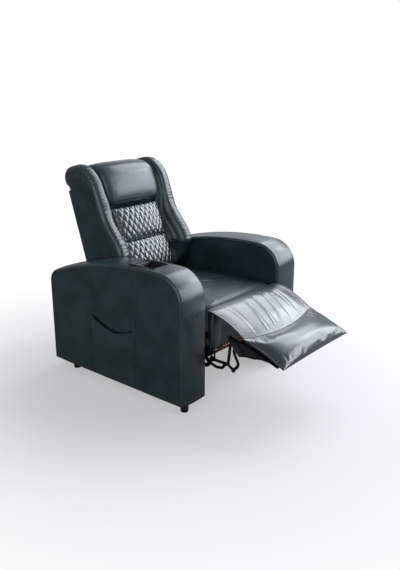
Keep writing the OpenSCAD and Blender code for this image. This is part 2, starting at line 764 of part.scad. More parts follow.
module footrest_bracket_right() { color("#1b1c1e") side(-1) footrest_bracket(); }
module footrest_bracket_left() { color("#1b1c1e") side(1) footrest_bracket(); }

// Linkage of one side

// Link plate through a list of points in one layer, with round holes.
module link_plate(k, points, holes, eye) {
    plate_yz(layer_x(k), link_t) difference() {
        strip_2d(points, link_w, eye);
        for (h = holes) translate(h) circle(d = pin_d + 2 * pin_clear);
    }
}

// Long cranked bar with the pins of the two links that it carries and its driven pin.
module long_bar() {
    head = pin_d + 5;
    bend = bar_pivot + [-17, -98];
    placed() {
        plate_yz(layer_x(2), link_t) difference() {
            union() {
                strip_2d([knee, elbow, elbow + [35, -1], elbow + [69, 0], bend, bar_pivot],
                    link_w, link_w + 5);
                polygon([bar_pivot + [-3, -20], crank + [-7, 6], crank + [-2, -9], bend + [2, 12]]);
                translate(crank) circle(d = link_w + 5);
            }
            translate(bar_pivot) circle(d = pin_d + 2 * pin_clear);
        }
        bar_x(elbow, pin_d, layer_x(1) - 0.6, layer_x(2) + eps);
        bar_x(elbow, head, layer_x(1) - 2.6, layer_x(1) - 0.6);
        bar_x(knee, pin_d, layer_x(2) + link_t - eps, layer_x(4) - 0.4);
        bar_x(knee, head, layer_x(4) - 0.4, layer_x(4) + 1.8);
        bar_x(crank, pin_d, yoke_x + 0.2, layer_x(2) + eps);
    }
}

// Upper link from the curved link past the long bar and up to the bracket.
module upper_link() {
    top = bracket_a + [101, 26];
    placed() {
        link_plate(1, [tail, elbow, top, bracket_a], [elbow], link_w + 4);
        bar_x(bracket_a, pin_d + 2, layer_x(1) + link_t - eps, layer_x(4) - 0.4);
    }
}

// Dog-leg link from the long bar's knee, bent forwards and back, up to the bracket.
module dogleg_link() {
    placed() link_plate(3, [knee, knee + [-31, 33], bracket_b + [126, 12], bracket_b], [knee],
        link_w + 4);
}

// Curved link that lies below the long bar.
module curved_link() {
    placed() {
        link_plate(0, [tail, tail + [16, -22], tail + [48, -26], curve_pivot + [-33, -96],
            curve_pivot + [-3, -56], curve_pivot], [curve_pivot], link_w + 4);
        bar_x(tail, pin_d + 4, layer_x(0) - 1.2, layer_x(0) + eps);
    }
}

module long_bar_right() { color("#1b1c1e") side(-1) long_bar(); }
module long_bar_left() { color("#1b1c1e") side(1) long_bar(); }
module upper_link_right() { color("#1b1c1e") side(-1) upper_link(); }
module upper_link_left() { color("#1b1c1e") side(1) upper_link(); }
module dogleg_link_right() { color("#1b1c1e") side(-1) dogleg_link(); }
module dogleg_link_left() { color("#1b1c1e") side(1) dogleg_link(); }
module curved_link_right() { color("#1b1c1e") side(-1) curved_link(); }
module curved_link_left() { color("#1b1c1e") side(1) curved_link(); }

// Power drive

// Yoke on the cross tube, whose upright slot takes the long bar's driven pin.
module drive_yoke() {
    tube = [drive_y, drive_z];
    low = [crank.x, bar_pivot.y - crank_l];
    placed() plate_yz(yoke_x, link_t) difference() {
        union() {
            translate([crank.x - 13, low.y - 15]) square([26, crank.y - low.y + 30]);
            strip_2d([[crank.x, low.y - 6], [crank.x + 30, drive_z + 12], tube], 20, 26);
            translate(tube) circle(d = tube_d + 14);
        }
        translate([crank.x - crank_slot / 2, low.y - 7])
            square([crank_slot, crank.y - low.y + 14]);
        translate(tube) circle(d = tube_d - 4);
    }
}

module drive_yoke_right() { color("#2a2b2d") side(-1) drive_yoke(); }
module drive_yoke_left() { color("#2a2b2d") side(1) drive_yoke(); }

// Motor with its gearbox and the rail that its screw drives a block along.
module drive_unit(y0, y1, z, s) {
    rail_d = 22;
    box_y = s > 0 ? y1 : y0 - motor_l;
    color("#2a2b2d") placed() {
        translate([-rail_d / 2, y0 - (s > 0 ? 0 : eps), z - rail_d / 2])
            cube([rail_d, y1 - y0 + eps, rail_d]);
        translate([-motor_w / 2, box_y, z - 26]) cube([motor_w, motor_l, 52]);
        translate([motor_w / 2 - 20, box_y + motor_l / 2, z - 26])
            rotate([180, 0, 0]) cylinder(d = 42, h = 40);
    }
}

module footrest_motor() { drive_unit(110, beam_y - motor_l, drive_z + 24, 1); }
module back_motor() { drive_unit(beam_y + beam_t + motor_l, rear_beam_y, 170, -1); }

// Sliding block of the footrest drive with the cross tube that carries both yokes.
module footrest_slider() {
    z = drive_z + 24;
    color("#3a3b3d") placed() {
        difference() {
            translate([-22, drive_y - 26, drive_z - 14]) cube([44, 52, 54]);
            translate([-11.4, drive_y - 27, z - 11.4]) cube([22.8, 54, 22.8]);
        }
        bar_x([drive_y, drive_z - 2], tube_d - 4, -22 - 10, -21.9);
        difference() {
            union() {
                bar_x([drive_y, drive_z], tube_d, -yoke_x, yoke_x);
                bar_x([drive_y, drive_z], tube_d - 4, -yoke_x - link_t, yoke_x + link_t);
            }
            translate([-21.9, drive_y - 20, drive_z - 20]) cube([43.8, 40, 40]);
        }
    }
}

// Sliding block of the back drive, with a yoke of two posts round the cross tube.
module back_slider() {
    tube_y = hinge_y + lever_l * sin(lever_a);
    gap = tube_d / 2 + 0.6;
    color("#3a3b3d") placed() {
        difference() {
            translate([-20, tube_y - 42, 152]) cube([40, 84, 44]);
            translate([-11.4, tube_y - 43, 170 - 11.4]) cube([22.8, 86, 22.8]);
        }
        for (s = [-1, 1]) translate([-14, tube_y + s * (gap + 6) - 6, 195.98])
            cube([28, 12, 72]);
    }
}

// Back

// Steel brackets on the hinge pins, joined by the cross tube that the drive pushes.
module back_brackets() {
    tube = hinge + lever_l * [sin(lever_a), -cos(lever_a)];
    x0 = rail_out + link_t + 1.5;
    up = [sin(back_tilt), cos(back_tilt)];
    color("#1b1c1e") placed() {
        for (s = [-1, 1]) side(s) plate_yz(x0, 4) difference() {
            union() {
                strip_2d([tube, hinge, hinge + 66 * up], 26, 32);
                translate(hinge) circle(d = 40);
            }
            translate(hinge) circle(d = hinge_pin_d + 2 * pin_clear);
        }
        bar_x(tube, tube_d, -x0 - 1, x0 + 1);
    }
}

// Wooden frame: two uprights and three cross rails.
module back_frame() {
    x0 = rail_out + link_t + 5.6;
    color("tan") back_placed() {
        for (s = [-1, 1]) side(s) translate([x0, -frame_face, 6])
            cube([24, frame_face - 16 - seam_gap, notch_l - 46]);
        for (z = [70, 300, notch_l - 96])
            translate([-x0 - eps, -84, z]) cube([2 * x0 + 2 * eps, 24, 46]);
    }
}

// Steps along a wing, and the share of them that climbs to the shoulder
wing_steps = 21;
climb = 0.42;

// Height of a point of the wing below the shoulder. t goes 0 to climb.
function wing_z(t) = wing_foot + (shoulder_l - wing_foot) * t / climb;

// Front edge of the wings, as a distance before the rear face, at height z.
function wing_front(z) = back_depth + wing_flare * (1 - ease((z - 190) / 190))
    - 0.72 * max(0, 178 - z) * ease((178 - z) / 30);

// Profile of a wing from its foot, over the top, to the notch behind. t goes 0 to 1.
function wing_line(t) = let (
    crest = [-84, back_l],
    roll = [-roll_r + 5, back_l - roll_r]
) t < climb ? [-wing_front(wing_z(t)), wing_z(t)]
    : t < 0.66 ? let (a = 90 * (t - climb) / (0.66 - climb))
        [crest.x - (back_depth + crest.x) * cos(a), shoulder_l + (crest.y - shoulder_l) * sin(a)]
    : let (a = 90 - 135 * min(1, (t - 0.66) / 0.29), k = max(0, t - 0.95) / 0.05)
        (roll + [roll_r * cos(a), roll_r * sin(a)]) * (1 - k) + [-9, notch_l + seam_gap] * k;

// Half width of the space between the wings at height z.
function between(z) = lumbar_half + 2 + 19 * ease((z - head_foot + 60) / 180);

// Upholstered shell: a rear panel and two sides that meet the wings' outer seams.
module back_shell() {
    t = 13;
    // The sides' front edge has its corners at the wings' own stations
    line = [for (z = [notch_l - 34, each [for (k = [floor(climb * wing_steps):-1:0])
        wing_z(k / wing_steps)]]) [-wing_front(z) + 25, z]];
    color("#25302f") back_placed() {
        for (s = [-1, 1]) side(s) plate_yz(back_half - t, t)
            polygon(concat([[0, 0], [0, notch_l]], line, [[-118, 0]]));
        translate([-back_half + t - eps, -16, 0])
            cube([2 * (back_half - t) + 2 * eps, 16, notch_l]);
    }
}

// Padded wing: thin at its inner edge, full in the middle, and turned in at its side.
module wing() {
    n = wing_steps;
    // Each station: share of the width, height of the crown
    stations = [[0, -14], [0.06, -4], [0.2, 4], [0.45, 8], [0.7, 5], [0.836, 0], [0.85, -1],
        [0.95, -6], [1, -13]];
    function x(share, z) = between(z) + (back_half - between(z)) * share;
    function off(t, d) = let (a = wing_line(max(0, t - 0.01)), b = wing_line(min(1, t + 0.01)),
        q = (b - a) / norm(b - a)) wing_line(t) + d * [-q.y, q.x];
    // The inside lies on the frame, or on the shell's edge at the side, up to the
    // shoulder, and then runs straight to the notch
    function inside(z, share) = [share < 0.84 ? -frame_face - seam_gap
        : 25 - seam_gap - wing_front(z), z];
    function core(t, share) = t < climb + 0.01 ? inside(wing_line(t).y, share)
        : let (k = (t - climb) / (1 - climb))
            inside(shoulder_l, share) * (1 - k) + [-20, notch_l + seam_gap] * k;
    lofted([for (s = stations) concat(
        [for (i = [0:n]) let (t = 1 - i / n, p = off(t, s[1] * ease(t * 14) * ease((1 - t) * 9)
            - 3 * (1 - ease(t * 14)))) [x(s[0], p.y), p.x, p.y]],
        [for (i = [n:-1:0]) let (p = core(1 - i / n, s[0])) [x(s[0], p.y), p.x, p.y]]
    )]);
}

module wing_right() { color("#2b3836") back_placed() side(-1) wing(); }
module wing_left() { color("#2b3836") back_placed() side(1) wing(); }

// Roll across the back's upper rear edge between the wings.
module top_roll() {
    c = [-roll_r + 5, back_l - roll_r - 2];
    n = 7;
    color("#2b3836") back_placed() lofted([for (s = [-1, -0.97, -0.9, -0.6, -0.2, 0.2, 0.6,
        0.9, 0.97, 1]) let (r = roll_r - 8 * pow(abs(s), 10), half = between(back_l) - seam_gap) concat(
        [[s * half, -9, notch_l + seam_gap]],
        [for (i = [0:n - 1]) let (a = -48 + 138 * i / (n - 1))
            [s * half, c.x + r * cos(a), c.y + r * sin(a)]],
        [for (i = [n:-1:0]) [s * half, c.x - 2 + 22 * (1 - i / n), c.y + r - 20
            - (c.y + r - 20 - notch_l - 8) * (1 - i / n)]]
    )]);
}

// Head cushion: a crowned pillow that turns over the top of the back.
module head_cushion() {
    n = 15;
    cols = 14;
    side_gap = 4 * seam_gap;
    function line(t) = let (z0 = head_foot, z1 = back_l - 2)
        t < 0.62 ? let (s = t / 0.62) [-(back_depth - 22 + 12 * sin(150 * s)), z0 + 150 * s]
        : let (a = 90 * (t - 0.62) / 0.38, p = [-(back_depth - 16), z0 + 150])
            [p.x + (back_depth - 16 - 46) * (1 - cos(a)), p.y + (z1 - p.y) * sin(a)];
    function core(t) = let (z0 = head_foot) t < 0.62 ? [-84 - seam_gap, z0 + 150 * t / 0.62]
        : let (k = (t - 0.62) / 0.38) [-84 - seam_gap, z0 + 150] * (1 - k) + [-46, 600] * k;
    function off(t, d) = let (a = line(max(0, t - 0.01)), b = line(min(1, t + 0.01)),
        q = (b - a) / norm(b - a)) line(t) + d * [-q.y, q.x];
    function puff(s, t) = 10 * (1 - pow(abs(s), 4)) * pow(sin(180 * min(1, t * 1.04)), 0.5)
        - 14 * pow(abs(s), 12);
    color("#2b3836") back_placed() lofted([for (i = [0:cols]) let (s = 2 * i / cols - 1) concat(
        [for (j = [n:-1:0]) let (t = j / n, p = off(t, puff(s, t)))
            [s * (between(p.y) - side_gap), p.x, p.y]],
        [for (j = [0:n]) let (p = core(j / n)) [s * (between(p.y) - side_gap), p.x, p.y]]
    )]);
}

// Quilted cushion between heights z0 and z1: crowned, with diamonds that puff up between
// two families of sewn diagonals.
module quilted(z0, z1, y0, y1) {
    cols = 4 * quilt_across;
    rows = 4 * quilt_rows;
    function bow(s) = pow(max(0, 1 - pow(abs(s), 2.6)), 0.7);
    function relief(u, v) = quilt_h * sqrt(abs(cos(360 * u * quilt_across)
        - cos(360 * v * quilt_rows)) / 2);
    rows_out = [for (j = [0:rows]) let (v = j / rows)
        [for (i = [0:cols]) let (u = i / cols)
            [(between(z0 + (z1 - z0) * v) - seam_gap) * (2 * u - 1) * (1 - 0.012 * sin(180 * v)),
                y0 + (y1 - y0) * v + 14 - lumbar_crown * bow(2 * u - 1) * bow(2 * v - 1)
                    - 12 * bow(2 * u - 1) - relief(u, v) * bow(2 * u - 1),
                z0 + (z1 - z0) * v]]];
    back_placed() puffed(rows_out, function (p, j) [p.x, -84 - seam_gap, p.z]);
}

module lumbar_upper() {
    color("#3a4a48") quilted(lumbar_mid + seam_gap / 2, head_foot - seam_gap, 9 - back_depth, 25 - back_depth);
}

module lumbar_lower() {
    color("#3a4a48") quilted(lumbar_foot, lumbar_mid - seam_gap / 2, -7 - back_depth, 9 - back_depth);
}

// Control panel, power box and inlet

module control_panel() {
    color("#141516") side(-1) placed() difference() {
        translate([arm_in - control_t, control_y, control_z]) cube([control_t, control_l, control_h]);
        for (k = [0, 1]) translate([arm_in - control_t - 1,
            rocker_y(k) - rocker_l / 2 - 0.6, rocker_z() - rocker_h / 2 - 0.6])
            cube([control_t + 2, rocker_l + 1.2, rocker_h + 1.2]);
        for (k = [0, 1]) rocker_pin(k, rocker_pin_d + 2 * pin_clear, rocker_l + 4.4);
    }
}

function rocker_y(k) = control_y + control_l * (k == 0 ? 0.28 : 0.72);
function rocker_z() = control_z + control_h / 2;

// Pin that a rocker turns on, in the middle of the panel's thickness.
module rocker_pin(k, d, l) {
    translate([arm_in - control_t / 2, rocker_y(k) - l / 2, rocker_z()])
        rotate([-90, 0, 0]) cylinder(d = d, h = l);
}

module rocker(k) {
    color("#2a2b2d") side(-1) placed() {
        translate([arm_in - control_t - 2.4, rocker_y(k) - rocker_l / 2, rocker_z() - rocker_h / 2])
            cube([4.4, rocker_l, rocker_h]);
        rocker_pin(k, rocker_pin_d, rocker_l + 4);
    }
}

module footrest_rocker() { rocker(0); }
module back_rocker() { rocker(1); }

module power_box() {
    color("#1b1c1e") placed() translate([-rail_in + 8, rear_beam_y - 44, beam_z + 8])
        cube([110, 44, 60]);
}

module inlet_socket() {
    color("#141516") placed() difference() {
        translate([-rail_in + 40, rear_beam_y + beam_t + rear_panel_t, beam_z + 30]) cube([34, 6, 26]);
        translate([-rail_in + 57, rear_beam_y + beam_t + rear_panel_t + 1.5, beam_z + 43]) rotate([-90, 0, 0])
            cylinder(d = 11, h = 6);
    }
}

arm_frame_right();
arm_frame_left();
outer_panel_right();
outer_panel_left();
inner_panel_right();
inner_panel_left();
arm_band_right();
arm_band_left();
arm_pocket();
console_tray();
foot_front_right();
foot_front_left();
foot_rear_right();
foot_rear_left();
side_rail_right();
side_rail_left();
front_rail();
cross_beams();
rear_panel();
front_strip();
mechanism_plate_right();
mechanism_plate_left();
seat_springs();
seat_cushion();
front_panel();
front_roll_right();
front_roll_left();
seat_flap();
control_panel();
power_box();
inlet_socket();
footrest_motor();
back_motor();
footrest_rocker();
back_rocker();
footrest_board();
footrest_pad();
footrest_bracket_right();
footrest_bracket_left();
long_bar_right();
long_bar_left();
upper_link_right();
upper_link_left();
dogleg_link_right();
dogleg_link_left();
curved_link_right();
curved_link_left();
footrest_slider();
drive_yoke_right();
drive_yoke_left();
back_slider();
back_brackets();
back_frame();
back_shell();
wing_right();
wing_left();
top_roll();
head_cushion();
lumbar_upper();
lumbar_lower();
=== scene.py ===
"""Looks of a power recliner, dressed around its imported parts.

Sizes are the chair's own, in millimetres: X to the sitter's left, Y back from the arms'
front faces, Z up from the floor. A Placement turns them into the row frame, in metres.
"""
import json
import logging
import math
from dataclasses import dataclass, field
from enum import Enum
from typing import Callable, Sequence

import bmesh
import bpy
import numpy as np
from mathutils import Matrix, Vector
from mathutils.bvhtree import BVHTree


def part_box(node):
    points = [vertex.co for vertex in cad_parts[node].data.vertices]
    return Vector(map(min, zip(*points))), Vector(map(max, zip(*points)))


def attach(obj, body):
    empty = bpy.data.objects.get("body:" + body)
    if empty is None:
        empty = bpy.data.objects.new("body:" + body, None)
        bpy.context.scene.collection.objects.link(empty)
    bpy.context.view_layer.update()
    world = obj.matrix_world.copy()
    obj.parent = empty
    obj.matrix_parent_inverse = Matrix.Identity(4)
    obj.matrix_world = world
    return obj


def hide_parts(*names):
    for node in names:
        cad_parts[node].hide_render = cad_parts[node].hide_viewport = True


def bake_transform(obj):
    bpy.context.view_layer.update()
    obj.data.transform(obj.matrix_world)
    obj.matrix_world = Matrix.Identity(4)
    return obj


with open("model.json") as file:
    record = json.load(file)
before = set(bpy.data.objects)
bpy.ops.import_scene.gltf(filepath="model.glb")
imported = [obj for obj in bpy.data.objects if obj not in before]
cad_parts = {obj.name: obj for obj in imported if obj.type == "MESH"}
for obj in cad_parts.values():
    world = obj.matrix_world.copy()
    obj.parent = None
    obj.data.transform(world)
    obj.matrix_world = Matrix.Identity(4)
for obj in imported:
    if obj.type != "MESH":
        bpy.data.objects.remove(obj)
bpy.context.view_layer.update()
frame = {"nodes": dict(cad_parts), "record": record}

Array = np.ndarray
Values = np.ndarray | float
Piece, Socket, Tree = bpy.types.Object, bpy.types.NodeSocket, bpy.types.NodeTree

LOG = logging.getLogger("recliner")
MM = 0.001
UP = np.array([0.0, 0.0, 1.0])
NODES = frame["nodes"]
ARM_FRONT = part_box("outer_panel_left")[0].y


class Side(Enum):
    """Side of the chair as the sitter names it, with the sign of its X."""

    RIGHT = -1
    LEFT = 1

    @property
    def word(self) -> str:
        """Returns the side's name as the pieces carry it."""
        return self.name.lower()


class Face(Enum):
    """The two long faces of an arm."""

    OUTER = "outer"
    INNER = "inner"


# Shape helpers


@dataclass(frozen=True)
class Placement:
    """Where a drawing's points go: turned about X by tilt degrees, then shifted."""

    y: float = 0.0
    z: float = 0.0
    tilt: float = 0.0

    def points(self, drawn: Array) -> Array:
        """Turns drawn points into the row frame.

        Args:
            drawn: points in millimetres, the last axis being X, Y and Z.

        Returns:
            The points in metres, in an array of the same shape.
        """
        c, s = math.cos(math.radians(self.tilt)), math.sin(math.radians(self.tilt))
        out = np.empty(drawn.shape, float)
        out[..., 0] = drawn[..., 0] * MM
        out[..., 1] = (drawn[..., 1] * c - drawn[..., 2] * s + self.y) * MM + ARM_FRONT
        out[..., 2] = (drawn[..., 1] * s + drawn[..., 2] * c + self.z) * MM
        return out


BASE = Placement()
BACK = Placement(y=732.7, z=345.0, tilt=-17.3)
PAD = Placement(y=-191.0, z=365.0, tilt=19.5)


def ease(t: Values) -> Values:
    """Returns a smooth step from 0 to 1 of t."""
    u = np.clip(t, 0.0, 1.0)
    return u * u * (3 - 2 * u)


def bell(d: Values, width: float) -> Values:
    """Returns 1 at d = 0, falling to nothing a few widths away."""
    return np.exp(-((d / width) ** 2))


def signed_power(v: Array, p: float) -> Array:
    """Returns v raised to p with its sign kept."""
    return np.sign(v) * np.abs(v) ** p


def bow(t: Values) -> Values:
    """Returns a curve that rises from 0 at t = 0 to 1 and falls back to 0 at t = 1."""
    return 1 - (2 * t - 1) ** 2


def crowded(count: int) -> Array:
    """Returns values from 0 to 1 that lie closer together towards both ends."""
    return (1 - np.cos(np.linspace(0, math.pi, count))) / 2


def inside(x: Array, y: Array, x0: float, x1: float, y0: float, y1: float) -> Array:
    """Returns how far points lie from the nearest edge of the rectangle around them."""
    return np.minimum(np.minimum(x - x0, x1 - x), np.minimum(y - y0, y1 - y))


def waves(a: Array, b: Array, seed: int, count: int = 7) -> Array:
    """Soft random waves over a plane, the same on each run.

    Args:
        a: first coordinate, about one wave a unit.
        b: second coordinate, about one wave a unit.
        seed: number that picks the waves.
        count: how many plane waves are summed.

    Returns:
        Values of about -1 to 1.
    """
    rng = np.random.default_rng(seed)
    total = np.zeros(np.broadcast(a, b).shape)
    for _ in range(count):
        angle, phase = rng.uniform(0, math.tau, 2)
        length = rng.uniform(0.6, 1.7)
        total += np.sin(math.tau * (a * math.cos(angle) + b * math.sin(angle)) / length + phase)
    return total / math.sqrt(count)


def grid(*coordinates: Values) -> Array:
    """Returns points with the given coordinates, over the shape that these share."""
    return np.stack(np.broadcast_arrays(*coordinates), -1)


def corners(x0: float, x1: float, y0: float, y1: float, z: float) -> Array:
    """Returns the corners of a level rectangle in turn, and the first of them again."""
    return grid([x0, x1, x1, x0, x0], [y0, y0, y1, y1, y0], z)


def distances(line: Array) -> Array:
    """Returns how far along a flat line each of its points lies."""
    return np.cumsum(np.hypot(*np.diff(line, axis=0, prepend=line[:1]).T))


def spread(marks: Sequence[float], step: float) -> Array:
    """Values from the first mark to the last that hit each mark.

    Args:
        marks: increasing values.
        step: largest distance between two values.

    Returns:
        The values, evenly spaced between each two marks.
    """
    out = [marks[0]]
    for a, b in zip(marks, marks[1:]):
        n = max(1, math.ceil((b - a) / step - 1e-9))
        out.extend(a + (b - a) * i / n for i in range(1, n + 1))
    return np.array(out)


def linked(name: str, data: bpy.types.ID) -> Piece:
    """Makes an object at the origin and links it to the scene.

    Args:
        name: the object's name.
        data: its mesh, camera or light.

    Returns:
        The new object.
    """
    made = bpy.data.objects.new(name, data)
    bpy.context.scene.collection.objects.link(made)
    return made


def smooth_piece(name: str, mesh: bpy.types.Mesh, sharp: float = 50.0) -> Piece:
    """Makes a piece of a finished mesh, smooth-shaded between its sharp edges.

    Args:
        name: the piece's name.
        mesh: its mesh.
        sharp: angle in degrees past which an edge stays sharp.

    Returns:
        The new piece.
    """
    mesh.shade_smooth()
    mesh.set_sharp_from_angle(angle=math.radians(sharp))
    return linked(name, mesh)


def new_object(name: str, points: Array, faces: Sequence, sharp: float = 50.0) -> Piece:
    """Makes a mesh object at the origin with merged doubles and outward normals.

    Args:
        name: the piece's name.
        points: points in metres in the row frame.
        faces: corner numbers of each face.
        sharp: angle in degrees past which an edge stays sharp.

    Returns:
        The new object, smooth-shaded.
    """
    mesh = bpy.data.meshes.new(name)
    mesh.from_pydata([tuple(p) for p in points.reshape(-1, 3)], [], [tuple(map(int, f)) for f in faces])
    bm = bmesh.new()
    bm.from_mesh(mesh)
    bmesh.ops.remove_doubles(bm, verts=bm.verts, dist=2e-6)
    bmesh.ops.dissolve_degenerate(bm, edges=bm.edges, dist=1e-7)
    bmesh.ops.recalc_face_normals(bm, faces=bm.faces)
    bm.to_mesh(mesh)
    bm.free()
    return smooth_piece(name, mesh, sharp)


def slab(name: str, place: Placement, front: Array, back: Array,
         keep: Array | None = None) -> Piece:
    """Closed body between two grids of points with the same rows and columns.

    Args:
        name: the piece's name.
        place: where the drawing goes.
        front: grid of points, rows by columns by 3. Its rim may coincide with back's.
        back: the grid behind it.
        keep: which cells are there, or None for all.

    Returns:
        The new piece.
    """
    rows, cols = front.shape[:2]
    number = np.arange(rows * cols).reshape(rows, cols)
    cells = grid(number[:-1, :-1], number[:-1, 1:], number[1:, 1:], number[1:, :-1]).reshape(-1, 4)
    if keep is not None:
        cells = cells[keep.ravel()]
    total = rows * cols
    edges = np.concatenate([cells[:, [i, (i + 1) % 4]] for i in range(4)])
    inner = np.isin(edges[:, 0] * total + edges[:, 1], edges[:, 1] * total + edges[:, 0])
    rim = edges[~inner]
    walls = grid(rim[:, 1], rim[:, 0], rim[:, 0] + total, rim[:, 1] + total)
    points = np.concatenate([front.reshape(-1, 3), back.reshape(-1, 3)])
    faces = np.concatenate([cells, cells[:, ::-1] + total, walls])
    return new_object(name, place.points(points), faces)


def loft(name: str, place: Placement, rings: Array, sharp: float = 50.0) -> Piece:
    """Closed body through rings of points, capped at both ends.

    Args:
        name: the piece's name.
        place: where the drawing goes.
        rings: rings by points by 3. Each ring is closed by itself.
        sharp: angle in degrees past which an edge stays sharp.

    Returns:
        The new piece.
    """
    count, around = rings.shape[:2]
    number = np.arange(count * around).reshape(count, around)
    after = np.roll(number, -1, axis=1)
    sides = grid(number[:-1], after[:-1], after[1:], number[1:]).reshape(-1, 4)
    centres = np.stack([rings[0].mean(0), rings[-1].mean(0)])
    caps = []
    for end, ring in ((0, 0), (1, count - 1)):
        hub = count * around + end
        caps += [(number[ring, i], after[ring, i], hub) for i in range(around)]
    points = np.concatenate([rings.reshape(-1, 3), centres])
    return new_object(name, place.points(points), [*sides.tolist(), *caps], sharp)


def tube(name: str, place: Placement, path: Array, radius: float,
         sides: int = 10) -> Piece:
    """Round tube, such as a piping, along a path that runs nowhere straight up.

    Args:
        name: the piece's name.
        place: where the drawing goes.
        path: points of the centreline.
        radius: the tube's radius.
        sides: points in a ring.

    Returns:
        The new piece, closed at both ends.
    """
    ahead = np.gradient(path, axis=0)
    ahead /= np.linalg.norm(ahead, axis=1)[:, None]
    across = np.empty_like(path)
    up = UP
    for i, t in enumerate(ahead):
        up = up - t * (up @ t)
        up /= np.linalg.norm(up)
        across[i] = up
    a = np.linspace(0, math.tau, sides, endpoint=False)[None, :, None]
    turned = np.cos(a) * across[:, None] + np.sin(a) * np.cross(ahead, across)[:, None]
    return loft(name, place, path[:, None] + radius * turned)


def softened(node: str, name: str, width: float) -> Piece:
    """Copy of a CAD node with its sharp edges rounded over.

    Args:
        node: the CAD node's name.
        name: the new piece's name.
        width: width of the rounding in millimetres.

    Returns:
        The new piece, in the node's place.
    """
    bm = bmesh.new()
    bm.from_mesh(NODES[node].data)
    bmesh.ops.remove_doubles(bm, verts=bm.verts, dist=1e-6)
    bmesh.ops.dissolve_limit(bm, angle_limit=math.radians(0.6), verts=bm.verts, edges=bm.edges)
    sharp = [e for e in bm.edges if len(e.link_faces) == 2 and e.calc_face_angle(0.0) > math.radians(28)]
    bmesh.ops.bevel(bm, geom=sharp, offset=width * MM, segments=2, profile=0.5,
                    affect="EDGES", clamp_overlap=True)
    bmesh.ops.recalc_face_normals(bm, faces=bm.faces)
    mesh = bpy.data.meshes.new(name)
    bm.to_mesh(mesh)
    bm.free()
    return smooth_piece(name, mesh, 35.0)


def drawn_points(piece: Piece, place: Placement) -> Array:
    """Points of a mesh, back in the millimetres of the drawing that it was made from.

    Args:
        piece: a mesh at the origin.
        place: the placement that it was drawn with.

    Returns:
        Rows of x, y and z.
    """
    co = np.empty(len(piece.data.vertices) * 3)
    piece.data.vertices.foreach_get("co", co)
    row = co.reshape(-1, 3)
    c, s = math.cos(math.radians(place.tilt)), math.sin(math.radians(place.tilt))
    y, z = (row[:, 1] - ARM_FRONT) / MM - place.y, row[:, 2] / MM - place.z
    return grid(row[:, 0] / MM, y * c + z * s, -y * s + z * c)


def mark(piece: Piece, place: Placement, seam: Callable[[Array], Array]) -> None:
    """Writes how near each point lies to a seam, for the painted shade that darkens the leather along it.

    Args:
        piece: a finished mesh.
        place: the placement that it was drawn with.
        seam: gives 0 to 1 for points in millimetres on the drawing.
    """
    # The seam attribute drives the painted shade that darkens the leather in its seams' grooves.
    layer = piece.data.attributes.new("seam", "FLOAT", "POINT")
    near = np.clip(seam(drawn_points(piece, place)), 0, 1)
    layer.data.foreach_set("value", near.astype(np.float32))


def smoothed(line: Array, rounds: int) -> Array:
    """Evens out a line's corners.

    Args:
        line: points of the line. Its ends stay.
        rounds: how often each point moves halfway to its neighbours' middle.

    Returns:
        The new line.
    """
    line = line.copy()
    for _ in range(rounds):
        line[1:-1] = (line[:-2] + 2 * line[1:-1] + line[2:]) / 4
    return line


def outward(line: Array) -> Array:
    """Directions that stand off a flat line, to the left of its run.

    Args:
        line: rows of y and z.

    Returns:
        One unit direction for each point.
    """
    ahead = np.gradient(line, axis=0)
    ahead /= np.linalg.norm(ahead, axis=1)[:, None]
    return grid(-ahead[:, 1], ahead[:, 0])


@dataclass(frozen=True)
class Stuffing:
    """Cloth simulation that blows a sewn cover up over its filling, with its seams held."""

    pressure: float = 4.0
    slack: float = 0.002
    cap: float = 12.0
    frames: int = 20
    bending: float = 40.0

    def fill(self, piece: Piece, held: Array) -> None:
        """Runs the simulation and keeps its result in the mesh.

        Args:
            piece: a closed mesh at the origin.
            held: how firmly each point is held, 0 to 1.
        """
        scene = bpy.context.scene
        group = piece.vertex_groups.new(name="held")
        for level in np.unique(np.round(held, 1)):
            if level > 0:
                group.add(np.flatnonzero(np.round(held, 1) == level).tolist(), float(level), "REPLACE")
        cloth = piece.modifiers.new("stuffing", "CLOTH")
        for key, value in {
                "quality": 5, "mass": 0.25, "tension_stiffness": 25, "compression_stiffness": 25,
                "shear_stiffness": 12, "bending_stiffness": self.bending, "use_pressure": True,
                "uniform_pressure_force": self.pressure, "shrink_min": -self.slack,
                "shrink_max": -self.slack, "vertex_group_mass": "held", "pin_stiffness": 40}.items():
            setattr(cloth.settings, key, value)
        cloth.settings.effector_weights.gravity = 0
        cloth.collision_settings.use_collision = False
        cloth.point_cache.frame_start, cloth.point_cache.frame_end = 1, self.frames
        for frame_number in range(1, self.frames + 1):
            scene.frame_set(frame_number)
        blown = piece.evaluated_get(bpy.context.evaluated_depsgraph_get()).to_mesh()
        old, new = (np.empty(len(piece.data.vertices) * 3) for _ in range(2))
        piece.data.vertices.foreach_get("co", old)
        blown.vertices.foreach_get("co", new)
        move = (new - old).reshape(-1, 3)
        far = np.linalg.norm(move, axis=1, keepdims=True)
        limit = self.cap * MM
        move *= limit * np.tanh(far / limit) / np.maximum(far, 1e-9)
        piece.modifiers.remove(cloth)
        piece.vertex_groups.remove(group)
        piece.data.vertices.foreach_set("co", (old.reshape(-1, 3) + move).ravel())
        piece.data.update()
        scene.frame_set(1)
        LOG.info("%s filled: moves up to %.1f mm", piece.name, float(far.max()) / MM)


# Materials


